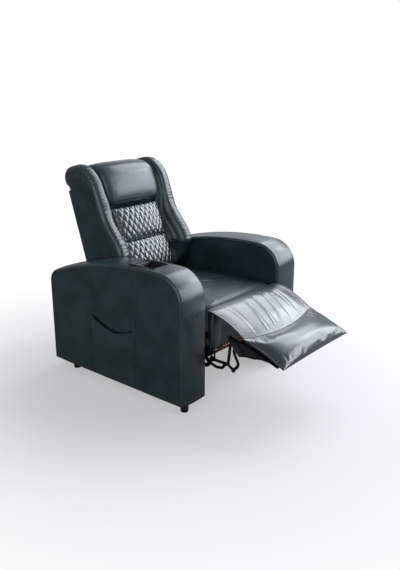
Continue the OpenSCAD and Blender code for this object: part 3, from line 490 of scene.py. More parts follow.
class Wiring:
    """Adds nodes to a node tree and links them."""

    def __init__(self, tree: Tree) -> None:
        """Starts on an emptied tree."""
        self.tree = tree
        tree.nodes.clear()

    def add(self, kind: str, inputs: dict | None = None, **settings: object) -> bpy.types.Node:
        """Adds a node.

        Args:
            kind: the node's type.
            inputs: input name or number to a value, or to a socket that feeds it.
            settings: the node's own properties.

        Returns:
            The new node.
        """
        node = self.tree.nodes.new(kind)
        for key, value in settings.items():
            setattr(node, key, value)
        for key, value in (inputs or {}).items():
            socket = node.inputs[key]
            if isinstance(value, Socket):
                self.tree.links.new(value, socket)
            else:
                socket.default_value = value
        return node

    def math(self, operation: str, a: object, b: object, c: object = 0.0) -> Socket:
        """Adds a Math node and returns its output."""
        return self.add("ShaderNodeMath", {0: a, 1: b, 2: c}, operation=operation).outputs[0]

    def ramp(self, value: object, low: float, high: float, to_low: float = 0.0,
             to_high: float = 1.0) -> Socket:
        """Adds a smooth Map Range node and returns its output."""
        return self.add("ShaderNodeMapRange", {0: value, 1: low, 2: high, 3: to_low, 4: to_high},
                        interpolation_type="SMOOTHSTEP").outputs[0]

    def noise(self, vector: object, scale: object, detail: float = 3.0) -> Socket:
        """Adds a Noise texture and returns its value."""
        return self.add("ShaderNodeTexNoise", {"Vector": vector, "Scale": scale, "Detail": detail}).outputs[0]

    def blend(self, share: object, a: object, b: object) -> Socket:
        """Adds a colour Mix node and returns its output."""
        return self.add("ShaderNodeMix", {0: share, 6: a, 7: b}, data_type="RGBA").outputs[2]

    def surface(self, height: object, strength: float, relief: float, inputs: dict) -> None:
        """Ends a material with a Principled shader over a bump.

        Args:
            height: socket that the bump reads.
            strength: the bump's strength.
            relief: its depth in metres.
            inputs: the shader's own inputs.
        """
        bump = self.add("ShaderNodeBump", {"Height": height, "Strength": strength, "Distance": relief})
        shader = self.add("ShaderNodeBsdfPrincipled", {"Normal": bump.outputs[0], **inputs})
        self.add("ShaderNodeOutputMaterial", {"Surface": shader.outputs[0]})


FLOAT, VECTOR, GEOMETRY = "NodeSocketFloat", "NodeSocketVector", "NodeSocketGeometry"


def node_tree(kind: str, name: str, inputs: dict[str, tuple[str, object]], outputs: dict[str, str]) \
        -> tuple[Tree, Wiring, bpy.types.Node, bpy.types.Node]:
    """Makes an empty node group with named sockets.

    Args:
        kind: the tree's type.
        name: the group's name.
        inputs: socket name to its type and default value.
        outputs: socket name to its type.

    Returns:
        The tree, its wiring, the input node and the output node.
    """
    tree = bpy.data.node_groups.new(name, kind)
    for key, (socket_type, value) in inputs.items():
        socket = tree.interface.new_socket(key, in_out="INPUT", socket_type=socket_type)
        if value is not None:
            socket.default_value = value
    for key, socket_type in outputs.items():
        tree.interface.new_socket(key, in_out="OUTPUT", socket_type=socket_type)
    w = Wiring(tree)
    return tree, w, w.add("NodeGroupInput"), w.add("NodeGroupOutput")


def new_material(name: str) -> tuple[bpy.types.Material, Wiring, Socket]:
    """Makes an empty material.

    Args:
        name: the material's name.

    Returns:
        The material, its wiring and its object coordinates.
    """
    material = bpy.data.materials.new(name)
    material.use_nodes = True
    w = Wiring(material.node_tree)
    return material, w, w.add("ShaderNodeTexCoord").outputs["Object"]


def hide_group() -> Tree:
    """Makes the group that gives leather its grain, creases and uneven tone.

    Returns:
        A group with inputs Vector, Pores, Creases and Mottle, and outputs Height and Tone.
    """
    tree, w, a, out = node_tree(
        "ShaderNodeTree", "hide", {"Vector": (VECTOR, None), "Pores": (FLOAT, 700.0),
                                   "Creases": (FLOAT, 0.5), "Mottle": (FLOAT, 9.0)},
        {"Height": FLOAT, "Tone": FLOAT})
    place = a.outputs["Vector"]
    drift = w.add("ShaderNodeTexNoise", {"Vector": place, "Scale": 60.0, "Detail": 2.0})
    bent = w.add("ShaderNodeVectorMath", {0: drift.outputs["Color"], 1: (0.006, 0.006, 0.006)},
                 operation="MULTIPLY")
    vector = w.add("ShaderNodeVectorMath", {0: place, 1: bent.outputs[0]}).outputs[0]
    pores = w.add("ShaderNodeTexVoronoi", {"Vector": vector, "Scale": a.outputs["Pores"]},
                  feature="SMOOTH_F1").outputs["Distance"]
    pebble = w.ramp(pores, 0.15, 0.75, 1.0, 0.0)
    cracks = w.add("ShaderNodeTexVoronoi", {"Vector": vector, "Scale": 95.0},
                   feature="DISTANCE_TO_EDGE").outputs["Distance"]
    where = w.ramp(w.noise(place, 14.0), 0.48, 0.66)
    crease = w.math("MULTIPLY", w.ramp(cracks, 0.0, 0.11, 1.0, 0.0), where)
    soft = w.noise(place, 34.0, 2.0)
    height = w.math("MULTIPLY_ADD", pebble, 0.22, 0.5)
    height = w.math("SUBTRACT", height, w.math("MULTIPLY", crease, a.outputs["Creases"]))
    height = w.math("ADD", height, w.math("MULTIPLY", soft, 0.5))
    tree.links.new(height, out.inputs["Height"])
    tree.links.new(w.noise(place, a.outputs["Mottle"], 4.0), out.inputs["Tone"])
    return tree


def speckle_group() -> Tree:
    """Makes the group for the fine texture and scuffs of paint, plastic and bare metal.

    Returns:
        A group with inputs Vector, Grain and Scuffs, and outputs Height and Scuff.
    """
    tree, w, a, out = node_tree(
        "ShaderNodeTree", "speckle", {"Vector": (VECTOR, None), "Grain": (FLOAT, 900.0),
                                      "Scuffs": (FLOAT, 0.3)},
        {"Height": FLOAT, "Scuff": FLOAT})
    place = a.outputs["Vector"]
    grain = w.noise(place, a.outputs["Grain"], 2.0)
    long_way = w.add("ShaderNodeMapping", {"Vector": place, "Scale": (1.0, 0.22, 0.7)})
    scratch = w.ramp(w.noise(long_way.outputs[0], 260.0, 6.0), 0.62, 0.7)
    patch = w.ramp(w.noise(place, 17.0), 0.5, 0.7)
    scuff = w.math("MULTIPLY", w.math("MULTIPLY", scratch, patch), a.outputs["Scuffs"])
    tree.links.new(w.math("SUBTRACT", grain, scuff), out.inputs["Height"])
    tree.links.new(scuff, out.inputs["Scuff"])
    return tree


def toned(shade: Sequence[float], factor: float = 1.0) -> tuple[float, ...]:
    """Returns a shade made darker or paler, with its alpha."""
    return (*(min(1.0, c * factor) for c in shade), 1.0)


@dataclass(frozen=True)
class Leather:
    """Semi-aniline upholstery leather."""

    name: str
    shade: tuple[float, float, float] = (0.014, 0.038, 0.038)
    roughness: float = 0.31
    gloss: float = 0.7
    coat: float = 0.25
    creases: float = 0.06
    relief: float = 0.0011

    def material(self) -> bpy.types.Material:
        """Builds the leather with its grain and mottling, and painted shade that darkens its seams.

        Returns:
            The new material.
        """
        material, w, place = new_material(self.name)
        hide = w.add("ShaderNodeGroup", {"Vector": place, "Creases": self.creases}, node_tree=GROUPS["hide"])
        seam = w.add("ShaderNodeAttribute", attribute_name="seam").outputs["Fac"]
        tone = w.ramp(hide.outputs["Tone"], 0.3, 0.7)
        colour = w.blend(tone, toned(self.shade, 0.72), toned(self.shade, 1.32))
        # Painted shade: the colour darkens towards near black along the seams and the quilting's diagonals.
        colour = w.blend(w.math("MULTIPLY", seam, 0.6), colour, (0.003, 0.004, 0.004, 1.0))
        rough = w.ramp(hide.outputs["Tone"], 0.25, 0.75, self.roughness - 0.05, self.roughness + 0.05)
        rough = w.math("ADD", rough, w.math("MULTIPLY", seam, 0.12))
        w.surface(hide.outputs["Height"], 0.55, self.relief, {
            "Base Color": colour, "Roughness": rough, "Specular IOR Level": self.gloss,
            "Coat Weight": self.coat, "Coat Roughness": 0.16})
        return material


@dataclass(frozen=True)
class Coated:
    """Paint, moulded plastic or bare metal with a fine grain and a few scuffs."""

    name: str
    shade: tuple[float, float, float]
    scuffed: tuple[float, float, float]
    roughness: float = 0.4
    metallic: float = 0.0
    grain: float = 900.0
    scuffs: float = 0.5
    relief: float = 0.0002

    def material(self) -> bpy.types.Material:
        """Builds the finish.

        Returns:
            The new material.
        """
        material, w, place = new_material(self.name)
        speckle = w.add("ShaderNodeGroup", {"Vector": place, "Grain": self.grain, "Scuffs": self.scuffs},
                        node_tree=GROUPS["speckle"])
        cloud = w.ramp(w.noise(place, 22.0), 0.35, 0.65)
        under = w.blend(cloud, toned(self.shade, 0.85), toned(self.shade, 1.15))
        colour = w.blend(speckle.outputs["Scuff"], under, toned(self.scuffed))
        rough = w.math("ADD", w.ramp(cloud, 0.0, 1.0, self.roughness - 0.04, self.roughness + 0.04),
                       w.math("MULTIPLY", speckle.outputs["Scuff"], 0.15))
        w.surface(speckle.outputs["Height"], 0.4, self.relief, {
            "Base Color": colour, "Roughness": rough, "Metallic": self.metallic})
        return material


@dataclass(frozen=True)
class Timber:
    """Sawn softwood or plywood with its grain along one axis."""

    name: str
    pale: tuple[float, float, float] = (0.56, 0.38, 0.2)
    dark: tuple[float, float, float] = (0.33, 0.2, 0.095)
    stretch: tuple[float, float, float] = (1.0, 0.06, 1.0)

    def material(self) -> bpy.types.Material:
        """Builds the wood with rings and fibres.

        Returns:
            The new material.
        """
        material, w, place = new_material(self.name)
        along = w.add("ShaderNodeMapping", {"Vector": place, "Scale": self.stretch}).outputs[0]
        rings = w.add("ShaderNodeTexWave", {"Vector": along, "Scale": 18.0, "Distortion": 9.0,
                                            "Detail": 3.0, "Detail Scale": 1.4}).outputs["Fac"]
        fibre = w.noise(along, 420.0, 5.0)
        share = w.math("MULTIPLY_ADD", rings, 0.55, w.math("MULTIPLY", fibre, 0.5))
        w.surface(fibre, 0.35, 0.0004, {
            "Base Color": w.blend(share, toned(self.pale), toned(self.dark)),
            "Roughness": w.ramp(fibre, 0.2, 0.8, 0.62, 0.78)})
        return material


GROUPS: dict[str, Tree] = {}
FINISHES: dict[str, bpy.types.Material] = {}


def make_finishes() -> None:
    """Builds the shared node groups, and every material by its name."""
    TREES["along_line"] = path_tree()
    TREES["heads"] = head_tree()
    GROUPS["hide"] = hide_group()
    GROUPS["speckle"] = speckle_group()
    for finish in (
        Leather("leather"),
        # Painted sheen: the quilted leather's colour is a paler copy of the leather's, standing in for the
        # brighter light on the quilts.
        Leather("quilted_leather", (0.022, 0.042, 0.042), roughness=0.27, gloss=1.0, coat=1.0, creases=0.05),
        Leather("cushion_leather", (0.015, 0.036, 0.036), roughness=0.33, gloss=0.9, coat=0.5, relief=0.0005),
        Leather("flap_leather", (0.020, 0.036, 0.035), roughness=0.36, gloss=1.0, coat=0.7),
        Leather("panel_leather", (0.014, 0.040, 0.040), roughness=0.42, gloss=0.5, coat=0.1, creases=0.1),
        Coated("black_steel", (0.011, 0.011, 0.012), (0.12, 0.12, 0.125), 0.34, 0.3, 700.0, 0.35),
        Coated("bare_steel", (0.42, 0.42, 0.43), (0.2, 0.19, 0.18), 0.3, 1.0, 500.0, 0.5),
        Coated("copper_strip", (0.12, 0.045, 0.022), (0.5, 0.3, 0.18), 0.38, 0.75, 600.0, 0.8),
        Coated("black_plastic", (0.008, 0.0085, 0.0095), (0.02, 0.021, 0.023), 0.33, 0.0, 1400.0, 0.3,
               0.0001),
        Coated("motor_housing", (0.022, 0.022, 0.024), (0.07, 0.07, 0.075), 0.5, 0.0, 1100.0, 0.5, 0.0003),
        Coated("lining_cloth", (0.012, 0.012, 0.013), (0.03, 0.03, 0.032), 0.9, 0.0, 1600.0, 0.3, 0.0006),
        Coated("thread", (0.007, 0.012, 0.012), (0.02, 0.03, 0.03), 0.85, 0.0, 2500.0, 0.6, 0.0003),
        Timber("frame_wood"),
    ):
        FINISHES[finish.name] = finish.material()


def dress(piece: Piece, finish: str, body: str,
          node: str | None = None) -> Piece:
    """Gives a piece its material, its body and the CAD node that it stands for.

    Args:
        piece: a finished mesh.
        finish: name of the material.
        body: CAD body that it rides on.
        node: CAD node that it replaces.

    Returns:
        The same piece.
    """
    piece.data.materials.clear()
    piece.data.materials.append(FINISHES[finish])
    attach(piece, body)
    if node:
        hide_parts(node)
    return piece


# Repeated details


class Head(Enum):
    """Small parts that are set on a surface, in the order of their tree's switch."""

    DOME = 0
    SCREW = 1
    RING = 2


def set_out(w: Wiring, a: bpy.types.Node, out: bpy.types.Node, points: Socket,
            shape: Socket, facing: Socket, height: Socket) -> None:
    """Ends a tree: sets a shape on points, makes the copies real and gives them their material.

    Args:
        w: the tree's wiring.
        a: its input node, with a Radius and a Material.
        out: its output node.
        points: the points.
        shape: the shape.
        facing: direction that the shape's Z turns to.
        height: the shape's scale along it.
    """
    turn = w.add("FunctionNodeAlignRotationToVector", {"Vector": facing}, axis="Z")
    size = w.add("ShaderNodeCombineXYZ", {"X": a.outputs["Radius"], "Y": a.outputs["Radius"], "Z": height})
    laid = w.add("GeometryNodeInstanceOnPoints", {
        "Points": points, "Instance": shape, "Rotation": turn.outputs[0], "Scale": size.outputs[0]})
    real = w.add("GeometryNodeRealizeInstances", {0: laid.outputs[0]})
    done = w.add("GeometryNodeSetMaterial", {"Geometry": real.outputs[0], "Material": a.outputs["Material"]})
    w.tree.links.new(done.outputs[0], out.inputs[0])


def path_tree() -> Tree:
    """Makes the tree that lays stitches or staples along lines.

    Returns:
        A tree with inputs Spacing, Length, Radius and Material.
    """
    tree, w, a, out = node_tree("GeometryNodeTree", "along_line", {
        "Geometry": (GEOMETRY, None), "Spacing": (FLOAT, 0.005), "Length": (FLOAT, 0.0036),
        "Radius": (FLOAT, 0.0005), "Material": ("NodeSocketMaterial", None)}, {"Geometry": GEOMETRY})
    line = w.add("GeometryNodeMeshToCurve", {"Mesh": a.outputs["Geometry"]})
    points = w.add("GeometryNodeCurveToPoints", {"Curve": line.outputs[0], "Length": a.outputs["Spacing"]},
                   mode="LENGTH")
    bead = w.add("GeometryNodeMeshUVSphere", {"Segments": 6, "Rings": 4, "Radius": 1.0})
    set_out(w, a, out, points.outputs["Points"], bead.outputs["Mesh"], points.outputs["Tangent"],
            w.math("MULTIPLY", a.outputs["Length"], 0.5))
    return tree


def head_tree() -> Tree:
    """Makes the tree that sets rivets, screws or rims on marked points.

    Returns:
        A tree with inputs Kind, Radius, Height and Material, which reads each point's axis attribute.
    """
    tree, w, a, out = node_tree("GeometryNodeTree", "heads", {
        "Geometry": (GEOMETRY, None), "Kind": ("NodeSocketInt", 0), "Radius": (FLOAT, 0.004),
        "Height": (FLOAT, 0.0015), "Material": ("NodeSocketMaterial", None)}, {"Geometry": GEOMETRY})
    dome = w.add("GeometryNodeMeshUVSphere", {"Segments": 16, "Rings": 8, "Radius": 1.0})
    disc = w.add("GeometryNodeMeshCylinder", {"Vertices": 20, "Radius": 1.0, "Depth": 2.0})
    bars = [w.add("GeometryNodeTransform", {
        "Geometry": w.add("GeometryNodeMeshCube", {"Size": size}).outputs["Mesh"],
        "Translation": (0.0, 0.0, 1.0)}) for size in ((1.3, 0.3, 1.2), (0.3, 1.3, 1.2))]
    cut = w.add("GeometryNodeMeshBoolean", {"Mesh 1": disc.outputs["Mesh"]}, operation="DIFFERENCE")
    for bar in bars:
        tree.links.new(bar.outputs[0], cut.inputs["Mesh 2"])
    hoop = w.add("GeometryNodeCurvePrimitiveCircle", {"Resolution": 18, "Radius": 1.0})
    wire = w.add("GeometryNodeCurvePrimitiveCircle", {"Resolution": 6, "Radius": 0.13})
    ring = w.add("GeometryNodeCurveToMesh", {"Curve": hoop.outputs[0], "Profile Curve": wire.outputs[0]})
    pick = w.add("GeometryNodeIndexSwitch", data_type="GEOMETRY")
    pick.index_switch_items.new()
    tree.links.new(a.outputs["Kind"], pick.inputs[0])
    for slot, shape in enumerate((dome.outputs["Mesh"], cut.outputs["Mesh"], ring.outputs[0])):
        tree.links.new(shape, pick.inputs[slot + 1])
    axis = w.add("GeometryNodeInputNamedAttribute", {"Name": "axis"}, data_type="FLOAT_VECTOR")
    points = w.add("GeometryNodeMeshToPoints", {"Mesh": a.outputs["Geometry"]})
    set_out(w, a, out, points.outputs[0], pick.outputs[0], axis.outputs[0], a.outputs["Height"])
    return tree


def grown(name: str, mesh: bpy.types.Mesh, tree: Tree,
          values: dict[str, object]) -> Piece:
    """Runs a Geometry Nodes tree on a mesh of lines or points, and keeps what grows as a plain mesh.

    Args:
        name: the new piece's name.
        mesh: the lines or points.
        tree: the tree.
        values: input name to its value.

    Returns:
        The new piece.
    """
    source = linked(f"{name}_source", mesh)
    modifier = source.modifiers.new("grow", "NODES")
    modifier.node_group = tree
    for item in tree.interface.items_tree:
        if item.item_type == "SOCKET" and item.in_out == "INPUT" and item.name in values:
            modifier[item.identifier] = values[item.name]
    whole = source.evaluated_get(bpy.context.evaluated_depsgraph_get())
    plain = bpy.data.meshes.new_from_object(whole)
    plain.name = name
    bpy.data.objects.remove(source)
    return smooth_piece(name, plain)


@dataclass
class Stitching:
    """Stitches and staples, gathered line by line, then grown as one mesh for each body."""

    finish: str
    spacing: float = 5.0
    length: float = 3.6
    radius: float = 0.45
    lift: float = 0.1
    lines: dict[str, list[Array]] = field(default_factory=dict)

    def sew(self, body: str, piece: Piece, points: Array, place: Placement = BASE) -> None:
        """Adds a line, laid on a piece's surface.

        Args:
            body: body that the stitches ride on.
            piece: the piece that they lie on, already finished.
            points: the line's points in millimetres on the drawing.
            place: the drawing's placement.
        """
        mesh = piece.data
        surface = BVHTree.FromPolygons([v.co for v in mesh.vertices], [p.vertices for p in mesh.polygons])
        line = []
        for p in place.points(np.asarray(points, float)):
            at, normal, _, _ = surface.find_nearest(Vector(p))
            line.append(at + normal * (self.lift * MM))
        self.lines.setdefault(body, []).append(np.array(line))

    def grow(self, body: str, name: str) -> Piece:
        """Grows every line of one body.

        Args:
            body: the body.
            name: the new piece's name.

        Returns:
            The stitches.
        """
        points, edges = [], []
        for line in self.lines[body]:
            first = len(points)
            points += [tuple(p) for p in line]
            edges += [(first + i, first + i + 1) for i in range(len(line) - 1)]
        mesh = bpy.data.meshes.new(f"{name}_lines")
        mesh.from_pydata(points, edges, [])
        return grown(name, mesh, TREES["along_line"], {
            "Spacing": self.spacing * MM, "Length": self.length * MM, "Radius": self.radius * MM,
            "Material": FINISHES[self.finish]})


@dataclass(frozen=True)
class Fixings:
    """Rivets, screws and rims of the hard parts, by the linkage's points at rest."""

    layers: tuple[float, ...] = (242.2, 246.4, 250.6, 254.8, 259.0)
    elbow: tuple[float, float] = (-101.0, 222.0)
    knee: tuple[float, float] = (-134.0, 202.0)
    tail: tuple[float, float] = (-82.0, 212.0)
    crank: tuple[float, float] = (-10.4, 248.8)
    bracket_a: tuple[float, float] = (-217.0, 318.0)
    bracket_b: tuple[float, float] = (-250.0, 298.0)
    bar_pivot: tuple[float, float] = (30.0, 306.0)
    curve_pivot: tuple[float, float] = (49.0, 296.0)
    strip_y: float = 18.3
    strip_z: float = 233.4
    strip_pitch: float = 19.0
    strip_holes: int = 24
    panel_face: float = -270.0
    plate_face: float = 211.0
    rear_face: float = 806.0

    def pins(self) -> dict[str, list[tuple]]:
        """Where the link pins' riveted ends lie on the sitter's left, by body.

        Returns:
            Rows of x, the point's y and z, and the way that the end faces along X.
        """
        x = self.layers
        return {
            "long_bars": [(x[1] - 2.6, *self.elbow, -1), (x[4] + 1.8, *self.knee, 1),
                          (237.6, *self.crank, -1)],
            "upper_links": [(x[1], *self.bracket_a, -1)],
            "dogleg_links": [(x[3], *self.bracket_b, -1)],
            "curved_links": [(x[0] - 1.2, *self.tail, -1)],
            "footrest": [(x[4] + 5.2, *self.bracket_a, 1), (x[4] + 5.2, *self.bracket_b, 1)],
            "base": [(x[3] + 1.2, *self.bar_pivot, 1), (x[0] + 3.5, *self.curve_pivot, 1)],
        }

    def heads(self, name: str, body: str, kind: Head, finish: str, radius: float, height: float,
              rows: Sequence[tuple]) -> Piece:
        """Sets a kind of head on points.

        Args:
            name: the new piece's name.
            body: body that the heads ride on.
            kind: dome, screw or ring.
            finish: name of the material.
            radius: the heads' radius.
            height: how far they stand up.
            rows: point and outward direction of each, six numbers a row.

        Returns:
            The heads as one piece.
        """
        table = np.array(rows, float)
        mesh = bpy.data.meshes.new(f"{name}_points")
        mesh.from_pydata([tuple(p) for p in BASE.points(table[:, :3])], [], [])
        axis = mesh.attributes.new("axis", "FLOAT_VECTOR", "POINT")
        axis.data.foreach_set("vector", table[:, 3:].astype(np.float32).ravel())
        piece = grown(name, mesh, TREES["heads"], {
            "Kind": kind.value, "Radius": radius * MM, "Height": height * MM, "Material": FINISHES[finish]})
        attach(piece, body)
        return piece

    def build(self) -> list[Piece]:
        """Builds all the heads and rims.

        Returns:
            One piece for each kind and body.
        """
        made = []
        for body, rows in self.pins().items():
            both = [(s * x, y, z, s * way, 0, 0) for x, y, z, way in rows for s in (-1, 1)]
            made.append(self.heads(f"rivets_{body}", body, Head.DOME, "black_steel", 5.2, 1.6, both))
        panel = [(self.panel_face, y, z, 1, 0, 0) for y in (196.5, 275.5) for z in (511.0, 541.0)]
        strip = [(x, self.strip_y, 246.0, 0, -1, 0) for x in range(-190, 191, 95)]
        plate = [(s * self.plate_face, y, z, s, 0, 0) for s in (-1, 1) for y, z in
                 ((96.0, 300.0), (230.0, 296.0), (380.0, 300.0), (520.0, 306.0))]
        middle = (self.strip_holes - 1) / 2
        rims = [((i - middle) * self.strip_pitch, self.strip_y, self.strip_z, 0, -1, 0)
                for i in range(self.strip_holes)]
        nails = [(x, self.rear_face, z, 0, 1, 0) for z in (70.0, 317.0) for x in range(-240, 241, 48)]
        for name, kind, finish, radius, height, rows in (
                ("control_panel_screws", Head.SCREW, "bare_steel", 2.0, 0.5, panel),
                ("front_strip_screws", Head.SCREW, "black_steel", 3.6, 1.4, strip),
                ("mechanism_plate_screws", Head.SCREW, "bare_steel", 5.0, 2.2, plate),
                ("front_strip_rims", Head.RING, "copper_strip", 4.9, 4.9, rims),
                ("rear_panel_nails", Head.DOME, "black_steel", 4.6, 1.8, nails)):
            made.append(self.heads(name, "base", kind, finish, radius, height, rows))
        return made


TREES: dict[str, Tree] = {}
THREAD = Stitching("thread")
STAPLES = Stitching("bare_steel", 26.0, 10.0, 0.55, 0.2)


# Arms


@dataclass
class ArmCovers:
    """Leather over one arm: two side panels and the band that runs round its edge."""

    side: Side
    gap: float = 548.0
    width: float = 160.0
    depth: float = 861.0
    height: float = 625.0
    arch_radius: float = 1780.0
    arch_y: float = 200.0
    front_radius: float = 128.0
    rear_radius: float = 66.0
    foot_h: float = 50.0
    corner: float = 13.0
    crown: float = 4.6
    thickness: float = 2.4
    tray_hole: tuple[float, float, float, float] = (302.0, 408.0, 180.0, 318.0)
    seam_tops: tuple[float, float] = (241.0, 543.0)
    seam_feet: tuple[float, float] = (289.0, 575.0)
    hollow: float = 9.5
    lining_z: float = 51.5
    lining_thickness: float = 1.2
    switches: tuple[float, float, float, float] = (190.0, 282.0, 505.0, 547.0)

    def __post_init__(self) -> None:
        """Works out the arm's two faces and the centres of the outline's arcs."""
        self.inner_x = self.gap / 2
        self.outer_x = self.inner_x + self.width
        self.arch_z = self.height - self.arch_radius
        self.front_c = self._corner(self.front_radius, self.front_radius)
        self.rear_c = self._corner(self.depth - self.rear_radius, self.rear_radius)

    def _corner(self, y: float, radius: float) -> tuple[float, float]:
        """Returns the centre, at y, of a corner round that touches the arch."""
        rise = math.sqrt((self.arch_radius - radius) ** 2 - (y - self.arch_y) ** 2)
        return y, self.arch_z + rise

    def outline(self, step: float) -> Array:
        """Points and outward directions along the arm's edge, front foot to rear foot.

        Args:
            step: distance between points.

        Returns:
            Rows of y, z, outward y and outward z.
        """
        turn_f = math.atan2(self.front_c[1] - self.arch_z, self.front_c[0] - self.arch_y)
        turn_r = math.atan2(self.rear_c[1] - self.arch_z, self.rear_c[0] - self.arch_y)
        hole = [math.asin((y - self.arch_y) / self.arch_radius) - math.pi / 2 for y in self.tray_hole[2:]]
        rows = [(0.0, z, -1.0, 0.0) for z in spread((self.foot_h, self.front_c[1]), step)]
        for (y, z), r, turns in ((self.front_c, self.front_radius, (-math.pi, -turn_f)),
                                 ((self.arch_y, self.arch_z), self.arch_radius, (-turn_f, *hole, -turn_r)),
                                 (self.rear_c, self.rear_radius, (-turn_r, 0.0))):
            rows += [(y + r * math.cos(a), z - r * math.sin(a), math.cos(a), -math.sin(a))
                     for a in spread(turns, step / r)[1:]]
        rows += [(self.depth, -z, 1.0, 0.0) for z in spread((-self.rear_c[1], -self.foot_h), step)[1:]]
        return np.array(rows)

    def section(self) -> Array:
        """Points across the band: x, and how far out from the outline.

        Returns:
            Rows of x and distance outwards, from the inner face to the outer face.
        """
        r = self.corner
        quarter = np.linspace(0, math.pi / 2, 9)
        inner = [(self.inner_x + 3.0, -17.0), (self.inner_x + 0.6, -16.2), (self.inner_x - 0.3, -14.6)]
        inner += [(self.inner_x + r - (r + 0.3) * math.cos(a), -r + r * math.sin(a)) for a in quarter]
        centre = self.inner_x + self.width / 2
        outer = [(2 * centre - x, d) for x, d in inner[::-1]]
        xs = spread((self.inner_x + r, *self.tray_hole[:2], self.outer_x - r), 8.0)[1:-1]
        middle = [(x, self.crown * (1 - ((x - centre) / (self.width / 2 - r)) ** 2)) for x in xs]
        return np.array(inner + middle + outer)

    def band(self) -> Piece:
        """Builds the padded band with its rolled corners, open below the tray's rim.

        Returns:
            The band of this arm.
        """
        line = self.outline(7.0)
        cut = self.section()
        s = self.side.value
        y, z, ny, nz = (line[:, i][:, None] for i in range(4))
        x, d = cut[:, 0][None, :], cut[:, 1][None, :]
        run = distances(line[:, :2])[:, None]
        lumps = 0.5 * waves(run / 150, x / 90, 11 + s) * ease((d + 12) / 10)
        puckers = 0.35 * np.sin(run / 1.9 + 2 * np.sin(run / 31)) * bell(d + 15.5, 2.6)
        d = d + lumps * 0.6
        front = grid(s * x, y + ny * d, z + nz * d)
        front[..., 0] += s * np.where(x > self.inner_x + self.width / 2, 1, -1) * puckers
        inner = np.clip(d, -14, 0) - 2.6
        back = grid(s * np.clip(x, self.inner_x + 4, self.outer_x - 4), y + ny * inner, z + nz * inner)
        keep = None
        if self.side is Side.RIGHT:
            mid_x, mid_y = ((v[:-1, 0] + v[1:, 0]) / 2 for v in (cut, line))
            below = line[:-1, 1] <= self.height / 2
            keep = (inside(mid_x[None, :], mid_y[:, None], *self.tray_hole) <= 0) | below[:, None]
        piece = slab(f"arm_band_cover_{self.side.word}", BASE, front, back, keep)
        mark(piece, BASE, lambda p: bell(np.minimum(abs(abs(p[:, 0]) - self.outer_x - 0.5),
                                                    abs(abs(p[:, 0]) - self.inner_x + 0.5)) + 4.0, 2.0))
        return piece

    def top(self, y: Array, inset: float) -> Array:
        """Height of the outline, drawn in by an inset.

        Args:
            y: distances behind the arm's front.
            inset: how far the outline is drawn in.

        Returns:
            The height above each y.
        """
        front, rear, arch = (
            cz + np.sqrt(np.maximum(0.0, (r - inset) ** 2 - (y - cy) ** 2)) for (cy, cz), r in
            ((self.front_c, self.front_radius), (self.rear_c, self.rear_radius),
             ((self.arch_y, self.arch_z), self.arch_radius)))
        corner = np.where(y < self.front_c[0], front, np.where(y > self.rear_c[0], rear, arch))
        return np.minimum(corner, arch)

    def seam_y(self, which: int, z: Array) -> Array:
        """Where an upright seam runs: its distance behind the arm's front at height z."""
        share = np.clip((z - self.foot_h) / (self.height - self.foot_h), 0, 1)
        return self.seam_feet[which] + (self.seam_tops[which] - self.seam_feet[which]) * share ** 1.6

    def pocket_mask(self, y: Array, z: Array) -> Array:
        """How deep points lie in the hollow behind the pocket.

        Args:
            y: their distances behind the arm's front.
            z: their heights.

        Returns:
            0 outside the hollow to 1 at its full depth.
        """
        pocket = SidePocket()
        share = (y - pocket.front - pocket.lean * (pocket.mouth_z - z) / pocket.mouth_z) / pocket.width
        above = pocket.mouth(np.clip(share, 0, 1)) + 13 - z
        edge = np.minimum(share, 1 - share) * pocket.width
        return ease(edge / 14) * ease(above / 15) * ease((z - pocket.low - 20) / 20)

    def switch_mask(self, y: Array, z: Array) -> Array:
        """How deep points lie in the hollow behind the switches.

        Args:
            y: their distances behind the arm's front.
            z: their heights.

        Returns:
            0 outside the hollow to 1 at its full depth.
        """
        return ease((inside(y, z, *self.switches) - 2) / 6)

    def panel(self, face: Face) -> Piece:
        """Builds one padded side panel, with its upright seams and the pocket's hollow.

        Args:
            face: which long face of the arm.

        Returns:
            The panel.
        """
        inset = 11.0
        seams = face is Face.OUTER
        near = (-6.0, -3.0, -1.3, 0.0, 1.3, 3.0, 6.0)
        ends = [inset + d for d in (0, 0.6, 1.6, 3, 5, 8, 12, 17, 24, 32, 42, 54, 68, 84, 102)]
        rear = [self.depth - inset - d for d in (0, 0.6, 1.6, 3, 5, 8, 12, 17, 24, 32, 42, 55)]
        mids = [foot + n for foot in self.seam_feet for n in near]
        y0, y1 = self.switches[:2]
        inner_marks = [] if seams else [y0, y0 + 5, y0 + 9, y1 - 9, y1 - 5, y1]
        cols = spread(sorted(ends + rear + mids + inner_marks), 9.0)
        rows = np.concatenate([[0, 0.004, 0.012], np.linspace(0.02, 0.97, 66), [0.985, 1.0]])
        s = self.side.value
        z0 = self.foot_h - 1.0
        y = np.repeat(cols[None, :], len(rows), 0)
        if seams:
            feet = [inset, *(foot + d for foot in self.seam_feet for d in (-6, 6)), self.depth - inset]
            share = np.interp(cols, feet, [0, 0, 0, 1, 1, 1])
            hold = np.interp(cols, feet, [0, 1, 1, 1, 1, 0])
            for _ in range(3):
                z = z0 + (self.top(y, inset) - z0) * rows[:, None]
                shift = [self.seam_y(k, z) - self.seam_feet[k] for k in (0, 1)]
                y = cols[None, :] + hold * (shift[0] * (1 - share) + shift[1] * share)
        z = z0 + (self.top(y, inset) - z0) * rows[:, None]
        fall = np.minimum.reduce([y - inset, self.depth - inset - y, self.top(y, inset) - z])
        out = 1.6 * ease((fall - 3) / 140) - 1.4 * bell(fall, 7.0)
        out += 0.5 * waves(y / 170, z / 170, 23 if seams else 29) * ease(fall / 60)
        out -= 0.7 * bell(z - z0, 6.0)
        if seams:
            for k in (0, 1):
                d = y - self.seam_y(k, z)
